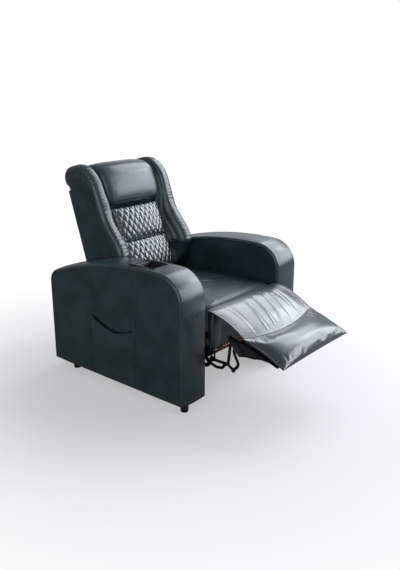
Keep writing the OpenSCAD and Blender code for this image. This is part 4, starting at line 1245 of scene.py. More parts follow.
                gather = 0.35 * np.sin(z / 1.7 + 3 * np.sin(z / 23)) * bell(np.abs(d) - 4.5, 2.6)
                out += -2.0 * bell(d, 1.5) + 0.5 * bell(d - 4.5, 3.0) + gather
            if self.side is Side.RIGHT:
                out -= self.hollow * self.pocket_mask(y, z)
        elif self.side is Side.RIGHT:
            out -= self.hollow * self.switch_mask(y, z)
        x_face = self.outer_x - 0.8 if seams else self.inner_x + 0.8
        sign = 1 if seams else -1
        front = grid(s * (x_face + sign * out), y, z)
        back = front - np.array([s * sign * self.thickness, 0, 0])
        piece = slab(f"{face.value}_panel_cover_{self.side.word}", BASE, front, back)

        def seam(p: Array) -> Array:
            """How near each point lies to one of the upright seams."""
            near_seam = [bell(p[:, 1] - self.seam_y(k, p[:, 2]), 2.2) for k in (0, 1)]
            return np.maximum(*near_seam) if seams else 0 * p[:, 0]
        mark(piece, BASE, seam)
        if seams:
            z = np.linspace(self.foot_h + 6, 600, 90)
            for k, top in ((0, 606.0), (1, 568.0)):
                at = self.seam_y(k, z[z < top])
                THREAD.sew("base", piece, grid(s * self.outer_x, at - 5.5, z[z < top]))
        rim = self.outline(9.0)
        rim = rim[rim[:, 1] > self.foot_h + 4]
        y, z = (rim[:, i] - rim[:, i + 2] * (inset + 6.0) for i in (0, 1))
        THREAD.sew("base", piece, grid(s * x_face, y, z))
        return piece

    def lining(self) -> Piece:
        """Builds the black cloth that closes the arm from below.

        Returns:
            The lining.
        """
        s = self.side.value
        x = np.linspace(self.inner_x + 4, self.outer_x - 4, 15)[None, :]
        y = np.linspace(6, self.depth - 6, 61)[:, None]
        rim = inside(x, y, self.inner_x + 4, self.outer_x - 4, 6, self.depth - 6)
        sag = self.lining_z - 1.6 * ease(rim / 40) + 0.5 * waves(x / 60, y / 60, 5)
        front = grid(s * x, y, sag)
        back = front + self.lining_thickness * UP
        return slab(f"arm_lining_{self.side.word}", BASE, front, back)

    def build(self) -> list[Piece]:
        """Builds and dresses the arm.

        Returns:
            The arm's pieces.
        """
        name = self.side.word
        band = dress(self.band(), "leather", "base", f"arm_band_{name}")
        outer, inner = (dress(self.panel(face), "panel_leather", "base",
                              f"{face.value}_panel_{name}") for face in Face)
        lining = dress(self.lining(), "lining_cloth", "base")
        x0, x1 = (self.side.value * x for x in (self.inner_x + 13, self.outer_x - 13))
        STAPLES.sew("base", lining, corners(x0, x1, 16.0, self.depth - 16, 50.0))
        return [band, outer, inner, lining]


@dataclass
class SidePocket:
    """Leather pocket on the outer face of the sitter's right arm."""

    outer_x: float = 434.0
    front: float = 279.0
    width: float = 286.0
    low: float = 58.0
    lean: float = 10.0
    mouth_z: float = 291.0
    front_rise: float = 34.0
    rear_rise: float = 52.0
    bulge: float = 7.0
    thickness: float = 2.4
    hem: float = 1.9
    take_up: float = 1.03
    turn_in: float = 20.0

    def mouth(self, t: Values) -> Array:
        """Height of the mouth a share t of the way from its front to its rear edge."""
        t = np.asarray(t, float)
        return (self.mouth_z + self.front_rise * np.maximum(0, 1 - t / 0.45) ** 1.6
                + self.rear_rise * np.maximum(0, (t - 0.45) / 0.55) ** 1.6)

    def y_at(self, t: Array, z: Array) -> Array:
        """Distance behind the arm's front of a point in the pocket, at height z."""
        return self.front + self.width * t + self.lean * (self.mouth_z - z) / self.mouth_z

    def out(self, u: Array, v: Values) -> Array:
        """How far the leather's outer face stands off the arm.

        Args:
            u: place along the pocket, 0 at its front edge to 1 at its rear edge.
            v: place up it, 0 at its foot to 1 at its mouth.

        Returns:
            The distances.
        """
        fullness = self.bulge * np.sin(np.pi * np.clip(u, 0, 1)) ** 0.8 * ease(v * 1.15)
        edge = np.minimum(u, 1 - u)
        creases = 0.9 * np.sin(26 * v + 9 * u) * bell(edge - 0.1, 0.07) * ease(v * 2 - 0.5)
        return self.thickness + fullness + creases - 1.6 * bell(edge, 0.012)

    def build(self) -> list[Piece]:
        """Builds the pocket and its rolled hem.

        Returns:
            The pocket's pieces.
        """
        u = spread([0, 0.01, 0.03, 0.06, 0.94, 0.97, 0.99, 1.0], 0.022)[None, :]
        v = spread([0, 0.02, 0.05, 0.95, 1.0], 0.03)[:, None]
        z = self.low + (self.mouth(u) - self.low) * v
        y = self.y_at(u, z)
        out = self.out(u, v)
        front = grid(-(self.outer_x + out), y, z)
        back = grid(-(self.outer_x + out - self.thickness + 0.02), y, z)
        body = slab("side_pocket_leather", BASE, front, back)
        mark(body, BASE, lambda p: bell(np.minimum(p[:, 1] - self.y_at(0, p[:, 2]),
                                                   self.y_at(1, p[:, 2]) - p[:, 1]), 3.0))
        t = np.linspace(0.004, 0.996, 80)
        z = self.mouth(t)
        lip = self.out(t, 1.0) - self.thickness / 2
        path = grid(-(self.outer_x + lip), self.y_at(t, z), z)
        hem = tube("side_pocket_hem", BASE, path, self.hem)
        t = np.linspace(0.03, 0.97, 60)
        for drop in (7.0, 11.0):
            z = self.mouth(t) - drop
            THREAD.sew("base", body, grid(-(self.outer_x + self.out(t, 1.0)), self.y_at(t, z), z))
        for end in (0.022, 0.978):
            z = np.linspace(self.low + 8, float(self.mouth(end)) - 14, 50)
            THREAD.sew("base", body, grid(-(self.outer_x + self.thickness), self.y_at(end, z), z))
        dress(body, "leather", "base", "arm_pocket")
        dress(hem, "leather", "base")
        return [body, hem]


# Seat and front


@dataclass
class SeatCushion:
    """Crowned seat cushion with a lip that rolls over its front."""

    half: float = 266.0
    front: float = 3.5
    depth: float = 586.0
    crest: float = 453.0
    low: float = 338.6
    squareness: float = 0.28

    def build(self) -> list[Piece]:
        """Builds the cushion as one stuffed form, drawn in at its rim.

        Returns:
            The cushion.
        """
        a = np.linspace(0, math.tau, 97)[:-1]
        share = np.concatenate([np.linspace(0.0, 0.9, 16), [0.94, 0.97, 0.985, 1.0]])
        middle = (self.front + self.depth) / 2
        wide, long = self.half, (self.depth - self.front) / 2
        rim_x = signed_power(np.cos(a), self.squareness) * wide
        rim_y = signed_power(np.sin(a), self.squareness) * long

        def ring(level: float, k: float) -> Array:
            """A level ring, a share k of the way out to the rim."""
            return grid(rim_x * k, middle + rim_y * k, float(level))
        rings = []
        for k in share:
            r = ring(0, k)
            u, v = r[:, 0] / wide, (r[:, 1] - self.front) / (self.depth - self.front)
            swell = (5 + 7 * np.sin(np.pi * np.clip(v, 0, 1))) * (1 - np.abs(u) ** 5)
            top = self.crest - 5 - 12 * v + swell - 13 * np.abs(u) ** 8
            drop = 13 - 11.5 * (1 - ease(v / 0.05)) * (1 - np.abs(u) ** 6)
            r[:, 2] = top - drop * max(0.0, (k - 0.9) / 0.1) ** 2
            rings.append(r)
        edge = rings[-1][:, 2]
        for t in np.linspace(0.08, 1, 12):
            r = ring(0, 1 - 0.012 * math.sin(math.pi * t))
            r[:, 2] = edge + (self.low - edge) * t
            rings.append(r)
        for k in (0.9, 0.6, 0.3, 0.001):
            rings.append(ring(self.low, k))
        piece = loft("seat_cushion_leather", BASE, np.array(rings))
        p = drawn_points(piece, BASE)
        rim = inside(p[:, 0], p[:, 1], -self.half, self.half, self.front, self.depth)
        held = np.maximum(1 - ease((rim - 4) / 30), 1 - ease((p[:, 2] - self.crest + 40) / 14))
        Stuffing(cap=5.0).fill(piece, held)
        return [dress(piece, "leather", "base", "seat_cushion")]


@dataclass
class SeatFront:
    """Upholstered front below the seat's lip, with a padded roll at each end."""

    half: float = 236.0
    front: float = 8.0
    thickness: float = 10.0
    low: float = 252.0
    high: float = 415.0
    roll_w: float = 74.0
    roll_d: float = 17.0

    def panel(self) -> Piece:
        """Builds the flat front between the rolls.

        Returns:
            The panel.
        """
        x = np.linspace(-self.half, self.half, 60)[None, :]
        z = spread([self.low, self.low + 4, self.high - 4, self.high], 7.0)[:, None]
        rim = np.minimum(z - self.low, self.high - z)
        bulge = 2.5 * ease(rim / 50) + 0.6 * waves(x / 70, z / 120, 3)
        y = self.front + 0.5 - bulge + 3.0 * bell(rim, 3.0)
        return slab("seat_front_leather", BASE, grid(x, y, z), grid(x, self.front + self.thickness, z))

    def roll(self, side: Side) -> Piece:
        """Builds one padded roll with the gathers of its curved seam.

        Args:
            side: which end of the front.

        Returns:
            The roll.
        """
        mid = self.half - self.roll_w / 2
        t = np.concatenate([[0.0, 0.012], np.linspace(0.03, 0.97, 54), [0.988, 1.0]])[:, None]
        a = np.linspace(0, math.pi, 33)[None, :]
        wide = 0.32 + 0.68 * np.sin(np.pi * (0.06 + 0.88 * t)) ** 0.55
        z = self.low + 3 + (self.high + 2 - self.low - 3) * t
        w, d = self.roll_w / 2 * wide, self.roll_d * wide ** 1.5
        x = mid - w * np.cos(a)
        folds = np.sin(z / 2.6 + 1.4 * np.sin(z / 17)) * (bell(a - 0.35, 0.28) + bell(a - 2.8, 0.28))
        y = self.front - d * np.sin(a) ** 0.85 + 0.9 * folds * np.sin(np.pi * t)
        front, back = (grid(side.value * x, level, z) for level in (y, self.front))
        return slab(f"front_roll_leather_{side.word}", BASE, front, back)

    def build(self) -> list[Piece]:
        """Builds and dresses the front.

        Returns:
            Its pieces.
        """
        panel = dress(self.panel(), "panel_leather", "base", "front_panel")
        return [panel, *(dress(self.roll(side), "leather", "base",
                               f"front_roll_{side.word}") for side in Side)]


FLAP_ENDS = ((0.0, -8.9, 444.0), (0.0, -195.0, 367.0))


def follow_flap(piece: Piece) -> None:
    """Bakes a piece's placement into its mesh; the flap's ends at the seat's lip and the footrest are worked
    out but not used.
    """
    start, end = (tuple(BASE.points(np.array(p))) for p in FLAP_ENDS)
    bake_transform(piece)


@dataclass
class SeatFlap:
    """Leather flap from the seat's lip to the footrest, with its long folds."""

    half: float = 262.0
    start_y: float = 3.1
    start_z: float = 448.0
    end_y: float = -191.0
    end_z: float = 365.0
    slope: float = 19.5
    draw: float = 42.0
    thickness: float = 2.6
    piping: float = 2.6
    take_up: float = 1.02
    cut_length: float = 0.245

    def sheet_points(self, u: Values, v: Array) -> Array:
        """Points of the flap's lower face.

        Args:
            u: place across the flap, 0 to 1.
            v: place from the seat to the footrest, 0 to 1.

        Returns:
            The points in millimetres.
        """
        edge = self.draw * bow(u)
        c, s = math.cos(math.radians(self.slope)), math.sin(math.radians(self.slope))
        end_y = self.end_y - edge * c + 0.5
        end_z = self.end_z - edge * s
        full = 1 - np.abs(2 * u - 1) ** 5
        y = self.start_y + (end_y - self.start_y) * v
        z = (self.start_z - 5 * (1 - full) * (1 - v) + (end_z - self.start_z) * v ** 1.7
             + 9 * np.sin(np.pi * u) * np.sin(np.pi * v))
        z += self.folds(u, v)
        return grid(self.half * (2 * u - 1), y, z)

    def folds(self, u: Values, v: Array) -> Array:
        """Height of the folds, which run from the seat's middle out to the footrest.

        Args:
            u: place across the flap, 0 to 1.
            v: place from the seat to the footrest, 0 to 1.

        Returns:
            The heights in millimetres.
        """
        total = 0 * u * v
        for at, lean, height, width, middle, reach in (
                (0.33, 0.10, 2.0, 0.012, 0.55, 0.36), (0.45, 0.13, 2.6, 0.011, 0.42, 0.42),
                (0.56, 0.15, 2.2, 0.010, 0.66, 0.30), (0.67, 0.12, 2.4, 0.011, 0.45, 0.40),
                (0.80, 0.06, 1.5, 0.012, 0.50, 0.34), (0.15, 0.04, 1.2, 0.013, 0.50, 0.34)):
            line = at - lean * (v - 0.5) + 0.004 * np.sin(7 * v + 20 * at)
            held = bell(v - middle, reach) * ease(v / 0.08) * ease((1 - v) / 0.08)
            wave = bell(u - line, width) - 0.8 * bell(u - line - 1.6 * width, width)
            total = total + height * wave * held
        total = total + 1.2 * waves(u * 5, v * 1.2, 41) * np.sin(np.pi * np.clip(v, 0, 1))
        return total - 1.5

    def build(self) -> list[Piece]:
        """Builds the flap and its two piped edges.

        Returns:
            Its pieces.
        """
        u = np.linspace(0, 1, 150)[None, :]
        v = np.linspace(0, 1, 64)[:, None]
        under = self.sheet_points(u, v)
        over = under + self.thickness * UP
        sheet = slab("seat_flap_leather", BASE, over, under)
        t = np.linspace(0.03, 0.97, 60)
        for across in (0.018, 0.982):
            THREAD.sew("flap", sheet, self.sheet_points(across, t) + 4.0 * UP)
        edges = []
        for side in Side:
            t = np.linspace(0, 1, 50)
            path = self.sheet_points(0.5 + side.value * 0.497, t) + self.thickness / 2 * UP
            edges.append(tube(f"flap_piping_{side.word}", BASE, path, self.piping, 8))
        for piece in (sheet, *edges):
            piece.data.materials.append(FINISHES["flap_leather"])
            follow_flap(piece)
        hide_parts("seat_flap")
        return [sheet, *edges]


# Footrest


@dataclass
class FootrestPad:
    """Footrest cushion: a pillow with pointed corners and a drawn-in rear seam."""

    half: float = 266.0
    length: float = 218.0
    crown: float = 42.0
    under: float = 21.6
    draw: float = 42.0
    seam_drop: float = 9.0
    wrap: float = 34.0
    board: tuple[float, float] = (16.0, 14.0)

    def plan(self, u: Array, v: Array) -> tuple[Array, Array]:
        """Where points of the cushion lie in plan.

        Args:
            u: place across it, 0 to 1.
            v: place from its front edge to its rear seam, 0 to 1.

        Returns:
            Their x and their y.
        """
        rear = -self.draw * bow(u)
        front = -self.length + 3.2 * bow(u)
        return (2 * u - 1) * (self.half - 7 * np.sin(np.pi * v)), front + (rear - front) * v

    def seam_z(self, u: Array, v: Array) -> Array:
        """Height of the seam that runs round the cushion."""
        return -self.seam_drop * (1 - ease(v)) + 0 * u

    def cushion(self) -> Piece:
        """Builds the leather cover, drawn round the board's edges.

        Returns:
            The cushion.
        """
        u, v = crowded(130)[None, :], crowded(64)[:, None]
        x, y = self.plan(u, v)
        depth = self.length - self.draw * bow(u)
        wide = 2 * self.half
        gap = grid(u * wide, (1 - u) * wide, v * depth, (1 - v) * depth)
        near = np.sum(np.maximum(gap, 1e-6) ** -3.0, -1) ** (-1 / 3)
        tip = np.hypot(np.minimum(gap[..., 0], gap[..., 1]), np.minimum(gap[..., 2], gap[..., 3]))
        rise = (1 - np.clip(1 - v / 0.5, 0, 1) ** 3) ** 0.6
        fall = np.sin(np.pi / 2 * np.clip((1 - v) / 0.5, 0, 1)) ** 0.9
        dome = (1 - np.abs(2 * u - 1) ** 2.5) ** 0.55 * np.where(v < 0.5, rise, fall)
        seam = self.seam_z(u, v)
        pucker = 1.1 * np.sin((gap[..., 2] - gap[..., 0]) / 3.2) * bell(tip - 24, 20) * dome
        folds = 0.12 * waves(u * 5, v * 2, 37) * ease(near / 40)
        top = grid(x, y, seam + (self.crown - seam) * dome + pucker + folds)
        tuck = np.sqrt(1 - (1 - np.clip(near / self.wrap, 0, 1)) ** 2)
        below = grid(x, y, seam - (self.under + seam) * tuck)
        piece = slab("footrest_pad_leather", PAD, top, below)
        p = drawn_points(piece, PAD)
        Stuffing(cap=8.0).fill(piece, 1 - ease((p[:, 2] + 5) / 16))
        along = np.linspace(0.03, 0.97, 120)
        for v_at in (0.965, 0.012):
            THREAD.sew("footrest", piece, grid(*self.plan(along, v_at), 12.0), PAD)
        return piece

    def underside(self) -> Piece:
        """Builds the board's lined underside, inside the leather that is pulled round it.

        Returns:
            The lining.
        """
        side = self.half - self.board[0] - 10
        front_y, rear_y = -self.length + self.board[1] + 10, -self.draw - self.board[1] - 4
        x = spread([-side, side], 12.0)[None, :]
        y = spread([front_y, rear_y], 9.0)[:, None]
        rim = inside(x, y, -side, side, front_y, rear_y)
        low = -self.under - 0.9 - 0.5 * ease(rim / 20) + 0.15 * waves(x / 40, y / 40, 61)
        front = grid(x, y, low)
        return slab("footrest_board_lined", PAD, front, front + 6.0 * UP)

    def build(self) -> list[Piece]:
        """Builds the cushion and the board's lining.

        Returns:
            Its pieces.
        """
        pad = dress(self.cushion(), "cushion_leather", "footrest", "footrest_pad")
        board = dress(self.underside(), "lining_cloth", "footrest", "footrest_board")
        a, b, c = self.half - 34, -self.length + 32, -self.draw - 26
        STAPLES.sew("footrest", board, corners(-a, a, b, c, -26.0), PAD)
        return [pad, board]


# Back


@dataclass
class BackForm:
    """Sizes and lines that the back's pieces share, in the back's own frame."""

    half: float = 265.0
    length: float = 648.0
    depth: float = 198.0
    flare: float = 55.0
    wing_foot: float = 60.0
    shoulder: float = 512.0
    roll: float = 48.0
    notch: float = 545.0
    lumbar_half: float = 157.0
    head_foot: float = 409.0
    frame_face: float = -84.3

    def wing_front(self, z: Values) -> Values:
        """How far before the rear face the wings' front edge lies at height z."""
        z = np.asarray(z, float)
        return (self.depth + self.flare * (1 - ease((z - 190) / 190))
                - 0.72 * np.maximum(0, 178 - z) * ease((178 - z) / 30))

    def between(self, z: Values) -> Values:
        """Half width of the space between the wings at height z."""
        return self.lumbar_half + 2 + 19 * ease((np.asarray(z, float) - self.head_foot + 60) / 180)

    def wing_line(self, t: float) -> tuple[float, float]:
        """Profile of a wing from its foot, over the top, to the notch behind.

        Args:
            t: 0 at the foot to 1 at the notch.

        Returns:
            The point's y and z.
        """
        climb, crest_t = 0.42, 0.66
        if t < climb:
            z = self.wing_foot + (self.shoulder - self.wing_foot) * t / climb
            return -float(self.wing_front(z)), z
        if t < crest_t:
            a = math.pi / 2 * (t - climb) / (crest_t - climb)
            return (-84 - (self.depth - 84) * math.cos(a),
                    self.shoulder + (self.length - self.shoulder) * math.sin(a))
        a = math.radians(90 - 135 * min(1.0, (t - crest_t) / 0.29))
        k = max(0.0, t - 0.95) / 0.05
        y, z = 5 - self.roll + self.roll * math.cos(a), self.length - self.roll + self.roll * math.sin(a)
        return y * (1 - k) - 9 * k, z * (1 - k) + (self.notch + 0.3) * k


@dataclass
class Wing(BackForm):
    """Padded wing that runs up one side of the back and over its top."""

    side: Side = Side.LEFT
    seam_fall: float = 23.0
    crown: float = 14.0
    crest: float = 0.66
    flank: float = 56.0
    frame_y: float = -96.0
    shell_lap: float = 24.6
    shell_step: float = 0.84
    notch_y: float = -20.0

    def build(self) -> list[Piece]:
        """Builds the wing, gathered along its seams.

        Returns:
            The wing.
        """
        fine = np.linspace(0, 1, 900)
        raw = np.array([self.wing_line(t) for t in fine])
        run = distances(raw)
        s = np.linspace(0, run[-1], 420)
        line = smoothed(grid(*(np.interp(s, run, raw[:, i]) for i in (0, 1))), 6)
        out = outward(line)
        a = np.linspace(math.pi, 0, 45)
        share = (signed_power(np.cos(a), 0.9)[None, :] + 1) / 2
        x0 = self.between(line[:, 1])
        s_, total = s[:, None], run[-1]
        full = 0.3 + 0.7 * ease(s_ / 60) * ease((total - s_) / 45)
        high = ease((line[:, 1][:, None] - 330) / 130)
        crest = self.crest - 0.14 * high
        foot = crest - 0.44 + 0.16 * high
        inner = 1 - np.sqrt(1 - np.clip((crest - share) / (crest - foot), 0, 1) ** 2.8)
        outer = 1 - np.sqrt(1 - np.clip((share - crest) / (1 - crest), 0, 1) ** 3.0)
        full = full * (1 - 0.9 * bell(s_ - 0.66 * total, 150))
        rise = (self.crown * full - (self.crown * full + self.seam_fall) * outer
                - (self.flank - (self.flank - 24) * high) * ease(s_ / 90) * inner
                - 14 * np.clip(1 - share / foot, 0, 1))
        tall = 1 - np.maximum(inner, outer) ** 3
        rise = rise + self.gathers(s_, share - crest, total) * tall
        x = x0[:, None] + (self.half - x0)[:, None] * share
        t = np.interp(s, run, fine)
        inner, outer = self.core(t, line[:, 1], self.frame_y), self.core(t, line[:, 1], None)
        step_x = (x0 + (self.half - x0) * self.shell_step)[:, None]
        skin = line[:, None] + out[:, None] * rise[..., None]
        edge, inner, outer = skin[:, -1:], inner[:, None], outer[:, None]
        k = np.array([0.1, 0.3, 0.5, 0.7, 0.9, 1.0])
        puff = 2.4 * np.sin(np.pi * k) ** 0.7 * np.minimum(1, np.linalg.norm(edge - outer, axis=-1) / 60)
        x = np.hstack([x, np.full_like(step_x, self.half - 2.4), self.half - 1.2 + puff, step_x, step_x,
                       x0[:, None] + 0.5])
        y, z = np.moveaxis(np.hstack([skin, edge - out[:, None] * 1.2, edge + (outer - edge) * k[:, None],
                                      outer, inner, inner]), -1, 0)
        rings = grid(self.side.value * x, y, z)
        piece = loft(f"wing_leather_{self.side.word}", BACK, rings, 179.0)
        for column in (41, 5):
            THREAD.sew("back", piece, rings[8:-12, column], BACK)
        return [dress(piece, "leather", "back", f"wing_{self.side.word}")]

    def core(self, t: Array, z: Array, inner: float | None) -> Array:
        """Where the wing's inside lies: on the frame or the shell's edge, then straight to the notch.

        Args:
            t: place along the wing, 0 to 1.
            z: height of the wing's line there.
            inner: y of the frame's face, or None for the shell's edge.

        Returns:
            Rows of y and z.
        """
        def face(h: Values) -> Values:
            """Where the wing's inside lies at height h."""
            return self.shell_lap - self.wing_front(h) if inner is None else inner + 0 * h
        k = np.clip((t - 0.42) / 0.58, 0, 1)[:, None]
        low = grid(face(z), z)
        top = grid(face(self.shoulder), self.shoulder + 0 * z)
        end = np.array([self.notch_y, self.notch + 0.3])
        return np.where(t[:, None] < 0.43, low, top * (1 - k) + end * k)

    def gathers(self, s: Array, share: Array, total: float) -> Array:
        """Ripples across the wing where the leather is drawn up along its seams.

        Args:
            s: distance along the wing from its foot.
            share: position across it, measured from its crest towards the outer seam.
            total: the wing's whole length.

        Returns:
            Height of the ripples.
        """
        phase = s / 2.9 + 1.7 * np.sin(s / 23) + 1.1 * np.sin(s / 9.3) + 4.5 * share
        inner = bell(s - 0.26 * total, 58) * bell(share + 0.1, 0.16)
        outer = 0.7 * bell(s - 0.46 * total, 42) * bell(share - 0.1, 0.2)
        spots = bell(share - 0.4, 0.3) + 0.8 * bell(share + 0.4, 0.25)
        over = 0.6 * bell(s - 0.68 * total, 80) * spots
        ridge = 1 - 2 * np.abs(np.sin(phase / 2)) ** 0.8
        return 2.8 * ridge * np.clip(inner + 0.9 * outer + 0.8 * over, 0, 1)


@dataclass
class HeadCushion(BackForm):
    """Full cushion between the wings that turns over the top of the back."""

    face: float = 150.0
    bend: float = 0.62
    lap: float = 3.5

    def line(self, t: float) -> tuple[float, float]:
        """Profile from the cushion's foot over its crown to the seam behind it.

        Args:
            t: 0 at the foot to 1 at the seam, the bend coming after the flat face.

        Returns:
            The point's y and z.
        """
        if t < self.bend:
            s = t / self.bend
            return -(self.depth - 22 + 12 * math.sin(math.radians(150 * s))), self.head_foot + self.face * s
        a = math.pi / 2 * (t - self.bend) / (1 - self.bend)
        y, z = -(self.depth - 16), self.head_foot + self.face
        return y + (self.depth - 62) * (1 - math.cos(a)), z + (self.length - 2 - z) * math.sin(a)

    def build(self) -> list[Piece]:
        """Builds the cushion.

        Returns:
            The cushion.
        """
        t = crowded(60)
        line = smoothed(np.array([self.line(v) for v in t]), 3)
        out = outward(line)
        s = np.sin(np.linspace(-math.pi / 2, math.pi / 2, 70))[None, :]
        up = t[:, None]
        puff = (15 * (1 - np.abs(s) ** 2.6) * np.sin(np.pi * np.clip(up * 1.05, 0, 1)) ** 0.6
                + 7 * (1 - np.abs(s) ** 6) * ease((up - 0.5) / 0.3)
                - 20 * (1 - np.sqrt(1 - np.abs(s) ** 12)) - 26 * (1 - ease(up / 0.16)) ** 1.6)
        puff = puff + 0.3 * waves(s * 1.6, up * 1.6, 8)
        y, z = (line[:, i][:, None] + out[:, i][:, None] * puff for i in (0, 1))
        x = s * (self.between(z) + self.lap)
        front = grid(x, y, z)
        over = np.clip((up - self.bend) / (1 - self.bend), 0, 1)
        core_y = self.frame_face + 38.3 * over
        core_z = self.head_foot + self.face * np.clip(up / self.bend, 0, 1) + 41 * over
        back = grid(x * 0.95, core_y, core_z)
        piece = slab("head_cushion_leather", BACK, front, back)
        p = drawn_points(piece, BACK)
        rim = np.minimum(self.between(p[:, 2]) + self.lap - np.abs(p[:, 0]), p[:, 2] - self.head_foot + 4)
        held = np.maximum(1 - ease((rim - 3) / 14), np.where(p[:, 1] > -60, 1.0, 0.0))
        Stuffing(cap=7.0).fill(piece, held)
        for column in (4, 65):
            THREAD.sew("back", piece, front[3:-6, column], BACK)
        return [dress(piece, "leather", "back", "head_cushion")]


@dataclass
class LumbarCushion(BackForm):
    """Quilted cushion between the wings, sewn in diamonds."""

    name: str = "upper"
    low: float = 235.0
    high: float = 409.0
    depth_low: float = 189.0
    depth_high: float = 173.0
    across: int = 9
    down: int = 3
    crown: float = 24.0
    puff: float = 6.5

    def build(self) -> list[Piece]:
        """Builds the cushion with its quilted diamonds.

        Returns:
            The cushion.
        """
        u = np.linspace(0, 1, self.across * 16 + 1)[None, :]
        v = np.linspace(0, 1, self.down * 26 + 1)[:, None]
        front = self.face(u, v)
        back = front.copy()
        back[..., 1] = self.frame_face
        piece = slab(f"lumbar_leather_{self.name}", BACK, front, back)
        mark(piece, BACK, self.seam)
        for k in range(-self.down, self.across + self.down + 1):
            for way in (-1, 1):
                t = np.linspace(0.012, 0.988, 90)
                along = (k - way * self.down * t) / self.across
                t, along = (w[(along > 0.01) & (along < 0.99)] for w in (t, along))
                if len(t) > 6:
                    THREAD.sew("back", piece, self.face(along, t), BACK)
        # The quilts take the paler leather whose colour stands in for their brighter sheen.
        return [dress(piece, "quilted_leather", "back", f"lumbar_{self.name}")]

    def face(self, u: Array, v: Array) -> Array:
        """Points of the quilted face.

        Args:
            u: place across the cushion, 0 to 1.
            v: place up it, 0 to 1.

        Returns:
            The points in millimetres.
        """
        z = self.low + (self.high - self.low) * v
        x = (2 * u - 1) * (self.between(z) - 1.0) * (1 - 0.012 * np.sin(np.pi * v))
        return grid(x, -self.surface(u, v), z)

    def apart(self, u: Array, v: Array) -> Array:
        """How far points lie from the sewn diagonals, 0 on them to 1 in a diamond's middle."""
        return np.abs(np.cos(math.tau * u * self.across) - np.cos(math.tau * v * self.down)) / 2

    def surface(self, u: Array, v: Array) -> Array:
        """How far the quilted face stands before the back's rear face.

        Args:
            u: place across the cushion, 0 to 1.
            v: place up it, 0 to 1.

        Returns:
            The distances.
        """
        bow_u, bow_v = (np.maximum(0, 1 - np.abs(2 * w - 1) ** 2.4) ** 0.6 for w in (u, v))
        relief = self.puff * self.apart(u, v) ** 0.3
        edge = bow_u * bow_v
        return (self.depth_low - (self.depth_low - self.depth_high) * v - 14 + self.crown * edge
                + 8 * bow_u + relief * (0.2 + 0.8 * edge ** 0.5))

    def seam(self, p: Array) -> Array:
        """How near points lie to one of the sewn diagonals.

        Args:
            p: points in millimetres in the back's frame.

        Returns:
            0 away from them to 1 on one.
        """
        v = (p[:, 2] - self.low) / (self.high - self.low)
        u = (p[:, 0] / self.between(p[:, 2]) + 1) / 2
        return 1 - ease(self.apart(u, v) / 0.12)


@dataclass
class TopRoll(BackForm):
    """Roll across the back's upper rear edge between the wings."""

    def build(self) -> list[Piece]:
        """Builds the roll.

        Returns:
            The roll.
        """
        cy, cz = 5 - self.roll, self.length - self.roll - 2
        s = np.sin(np.linspace(-math.pi / 2, math.pi / 2, 60))
        half = float(self.between(self.length)) + 0.6
        turn = np.radians(np.linspace(-48, 112, 30))
        rings = []
        for v in s:
            r = self.roll - 4 * abs(v) ** 14
            round_part = [(cy + r * math.cos(a), cz + r * math.sin(a)) for a in turn]
            ring = [(-9.0, self.notch + 0.3), *round_part, (cy - 16, cz + r - 30), (cy + 18, self.notch + 9)]
            rings.append([(v * half, y, z) for y, z in ring])
        piece = loft("top_roll_leather", BACK, np.array(rings))
        return [dress(piece, "leather", "back", "top_roll")]


@dataclass
class BackShell(BackForm):
    """Upholstered shell: the rear panel and two sides up to the wings' seams."""

    corner: float = 12.0
    lap: float = 25.0
    foot_y: float = 118.0
    top_y: float = 150.0
    turn_h: float = 34.0
    seam_z: tuple[float, ...] = (60.0, 200.0, 312.0, 410.0, 524.0)
    seam_y: tuple[float, ...] = (128.0, 94.0, 67.0, 57.0, 57.0)

    def build(self) -> list[Piece]:
        """Builds the shell with rounded rear corners and its curved side seams.

        Returns:
            The shell.
        """
        z = spread([0.0, 5.0, self.notch - 5, self.notch], 7.0)
        near = (-9.0, -5.0, -2.6, -1.2, 0.0, 1.2, 2.6, 5.0, 9.0)
        turn = np.linspace(0, math.pi / 2, 8)[1:]
        across = np.linspace(1, 0, 26)[1:]
        r, wide = self.corner, self.half - 1.0
        outer, inner = [], []
        for h in z:
            edge = self.wing_front(max(h, self.wing_foot)) - self.lap
            if h < self.wing_foot:
                edge = self.foot_y + (edge - self.foot_y) * ease(h / self.wing_foot)
            top = ease((h - self.notch + self.turn_h) / self.turn_h)
            edge = edge * (1 - top) + self.top_y * top
            seam_at = -np.interp(h, self.seam_z, self.seam_y)
            front = np.linspace(-edge, seam_at - 14, 14)
            rear = np.linspace(seam_at + 14, -r, 9)
            side = []
            for y in (*front, *(seam_at + n for n in near), *rear):
                fall = min(y + edge, 14 - r - y)
                puff = (2.4 * ease(fall / 40) - 1.6 * bell(y - seam_at - 1.2, 1.5)
                        + 1.3 * bell(y - seam_at + 1.6, 1.7))
                side.append(((wide + puff, y), (wide - 4, min(y, -6.0))))
            side += [((wide - r + r * math.cos(a) + 0.8 * math.sin(2 * a), -r + r * math.sin(a)),
                      (wide - r + (r - 4) * math.cos(a), -r + (r - 4) * math.sin(a))) for a in turn]
            belly = 3.0 * math.sin(math.pi * h / self.notch) ** 0.5
            side += [((w * (wide - r), belly * (1 - w * w) - 1.6 * bell(w * wide - 128, 2.5)),
                      (w * (wide - r), -4.0)) for w in across]
            for out, rows in ((0, outer), (1, inner)):
                half = [(-p[out][0], p[out][1], h) for p in side]
                rows.append(half + [(-x, y, h) for x, y, _ in half[-2::-1]])
        piece = slab("back_shell_leather", BACK, np.array(outer), np.array(inner))
        h = np.linspace(14, self.notch - 10, 90)
        side_y = -np.interp(h, self.seam_z, self.seam_y)
        for side in Side:
            for x, y in ((wide, side_y + 5.0), (123.0, 6.0)):
                THREAD.sew("back", piece, grid(side.value * x, y, h), BACK)
        return [dress(piece, "panel_leather", "back", "back_shell")]


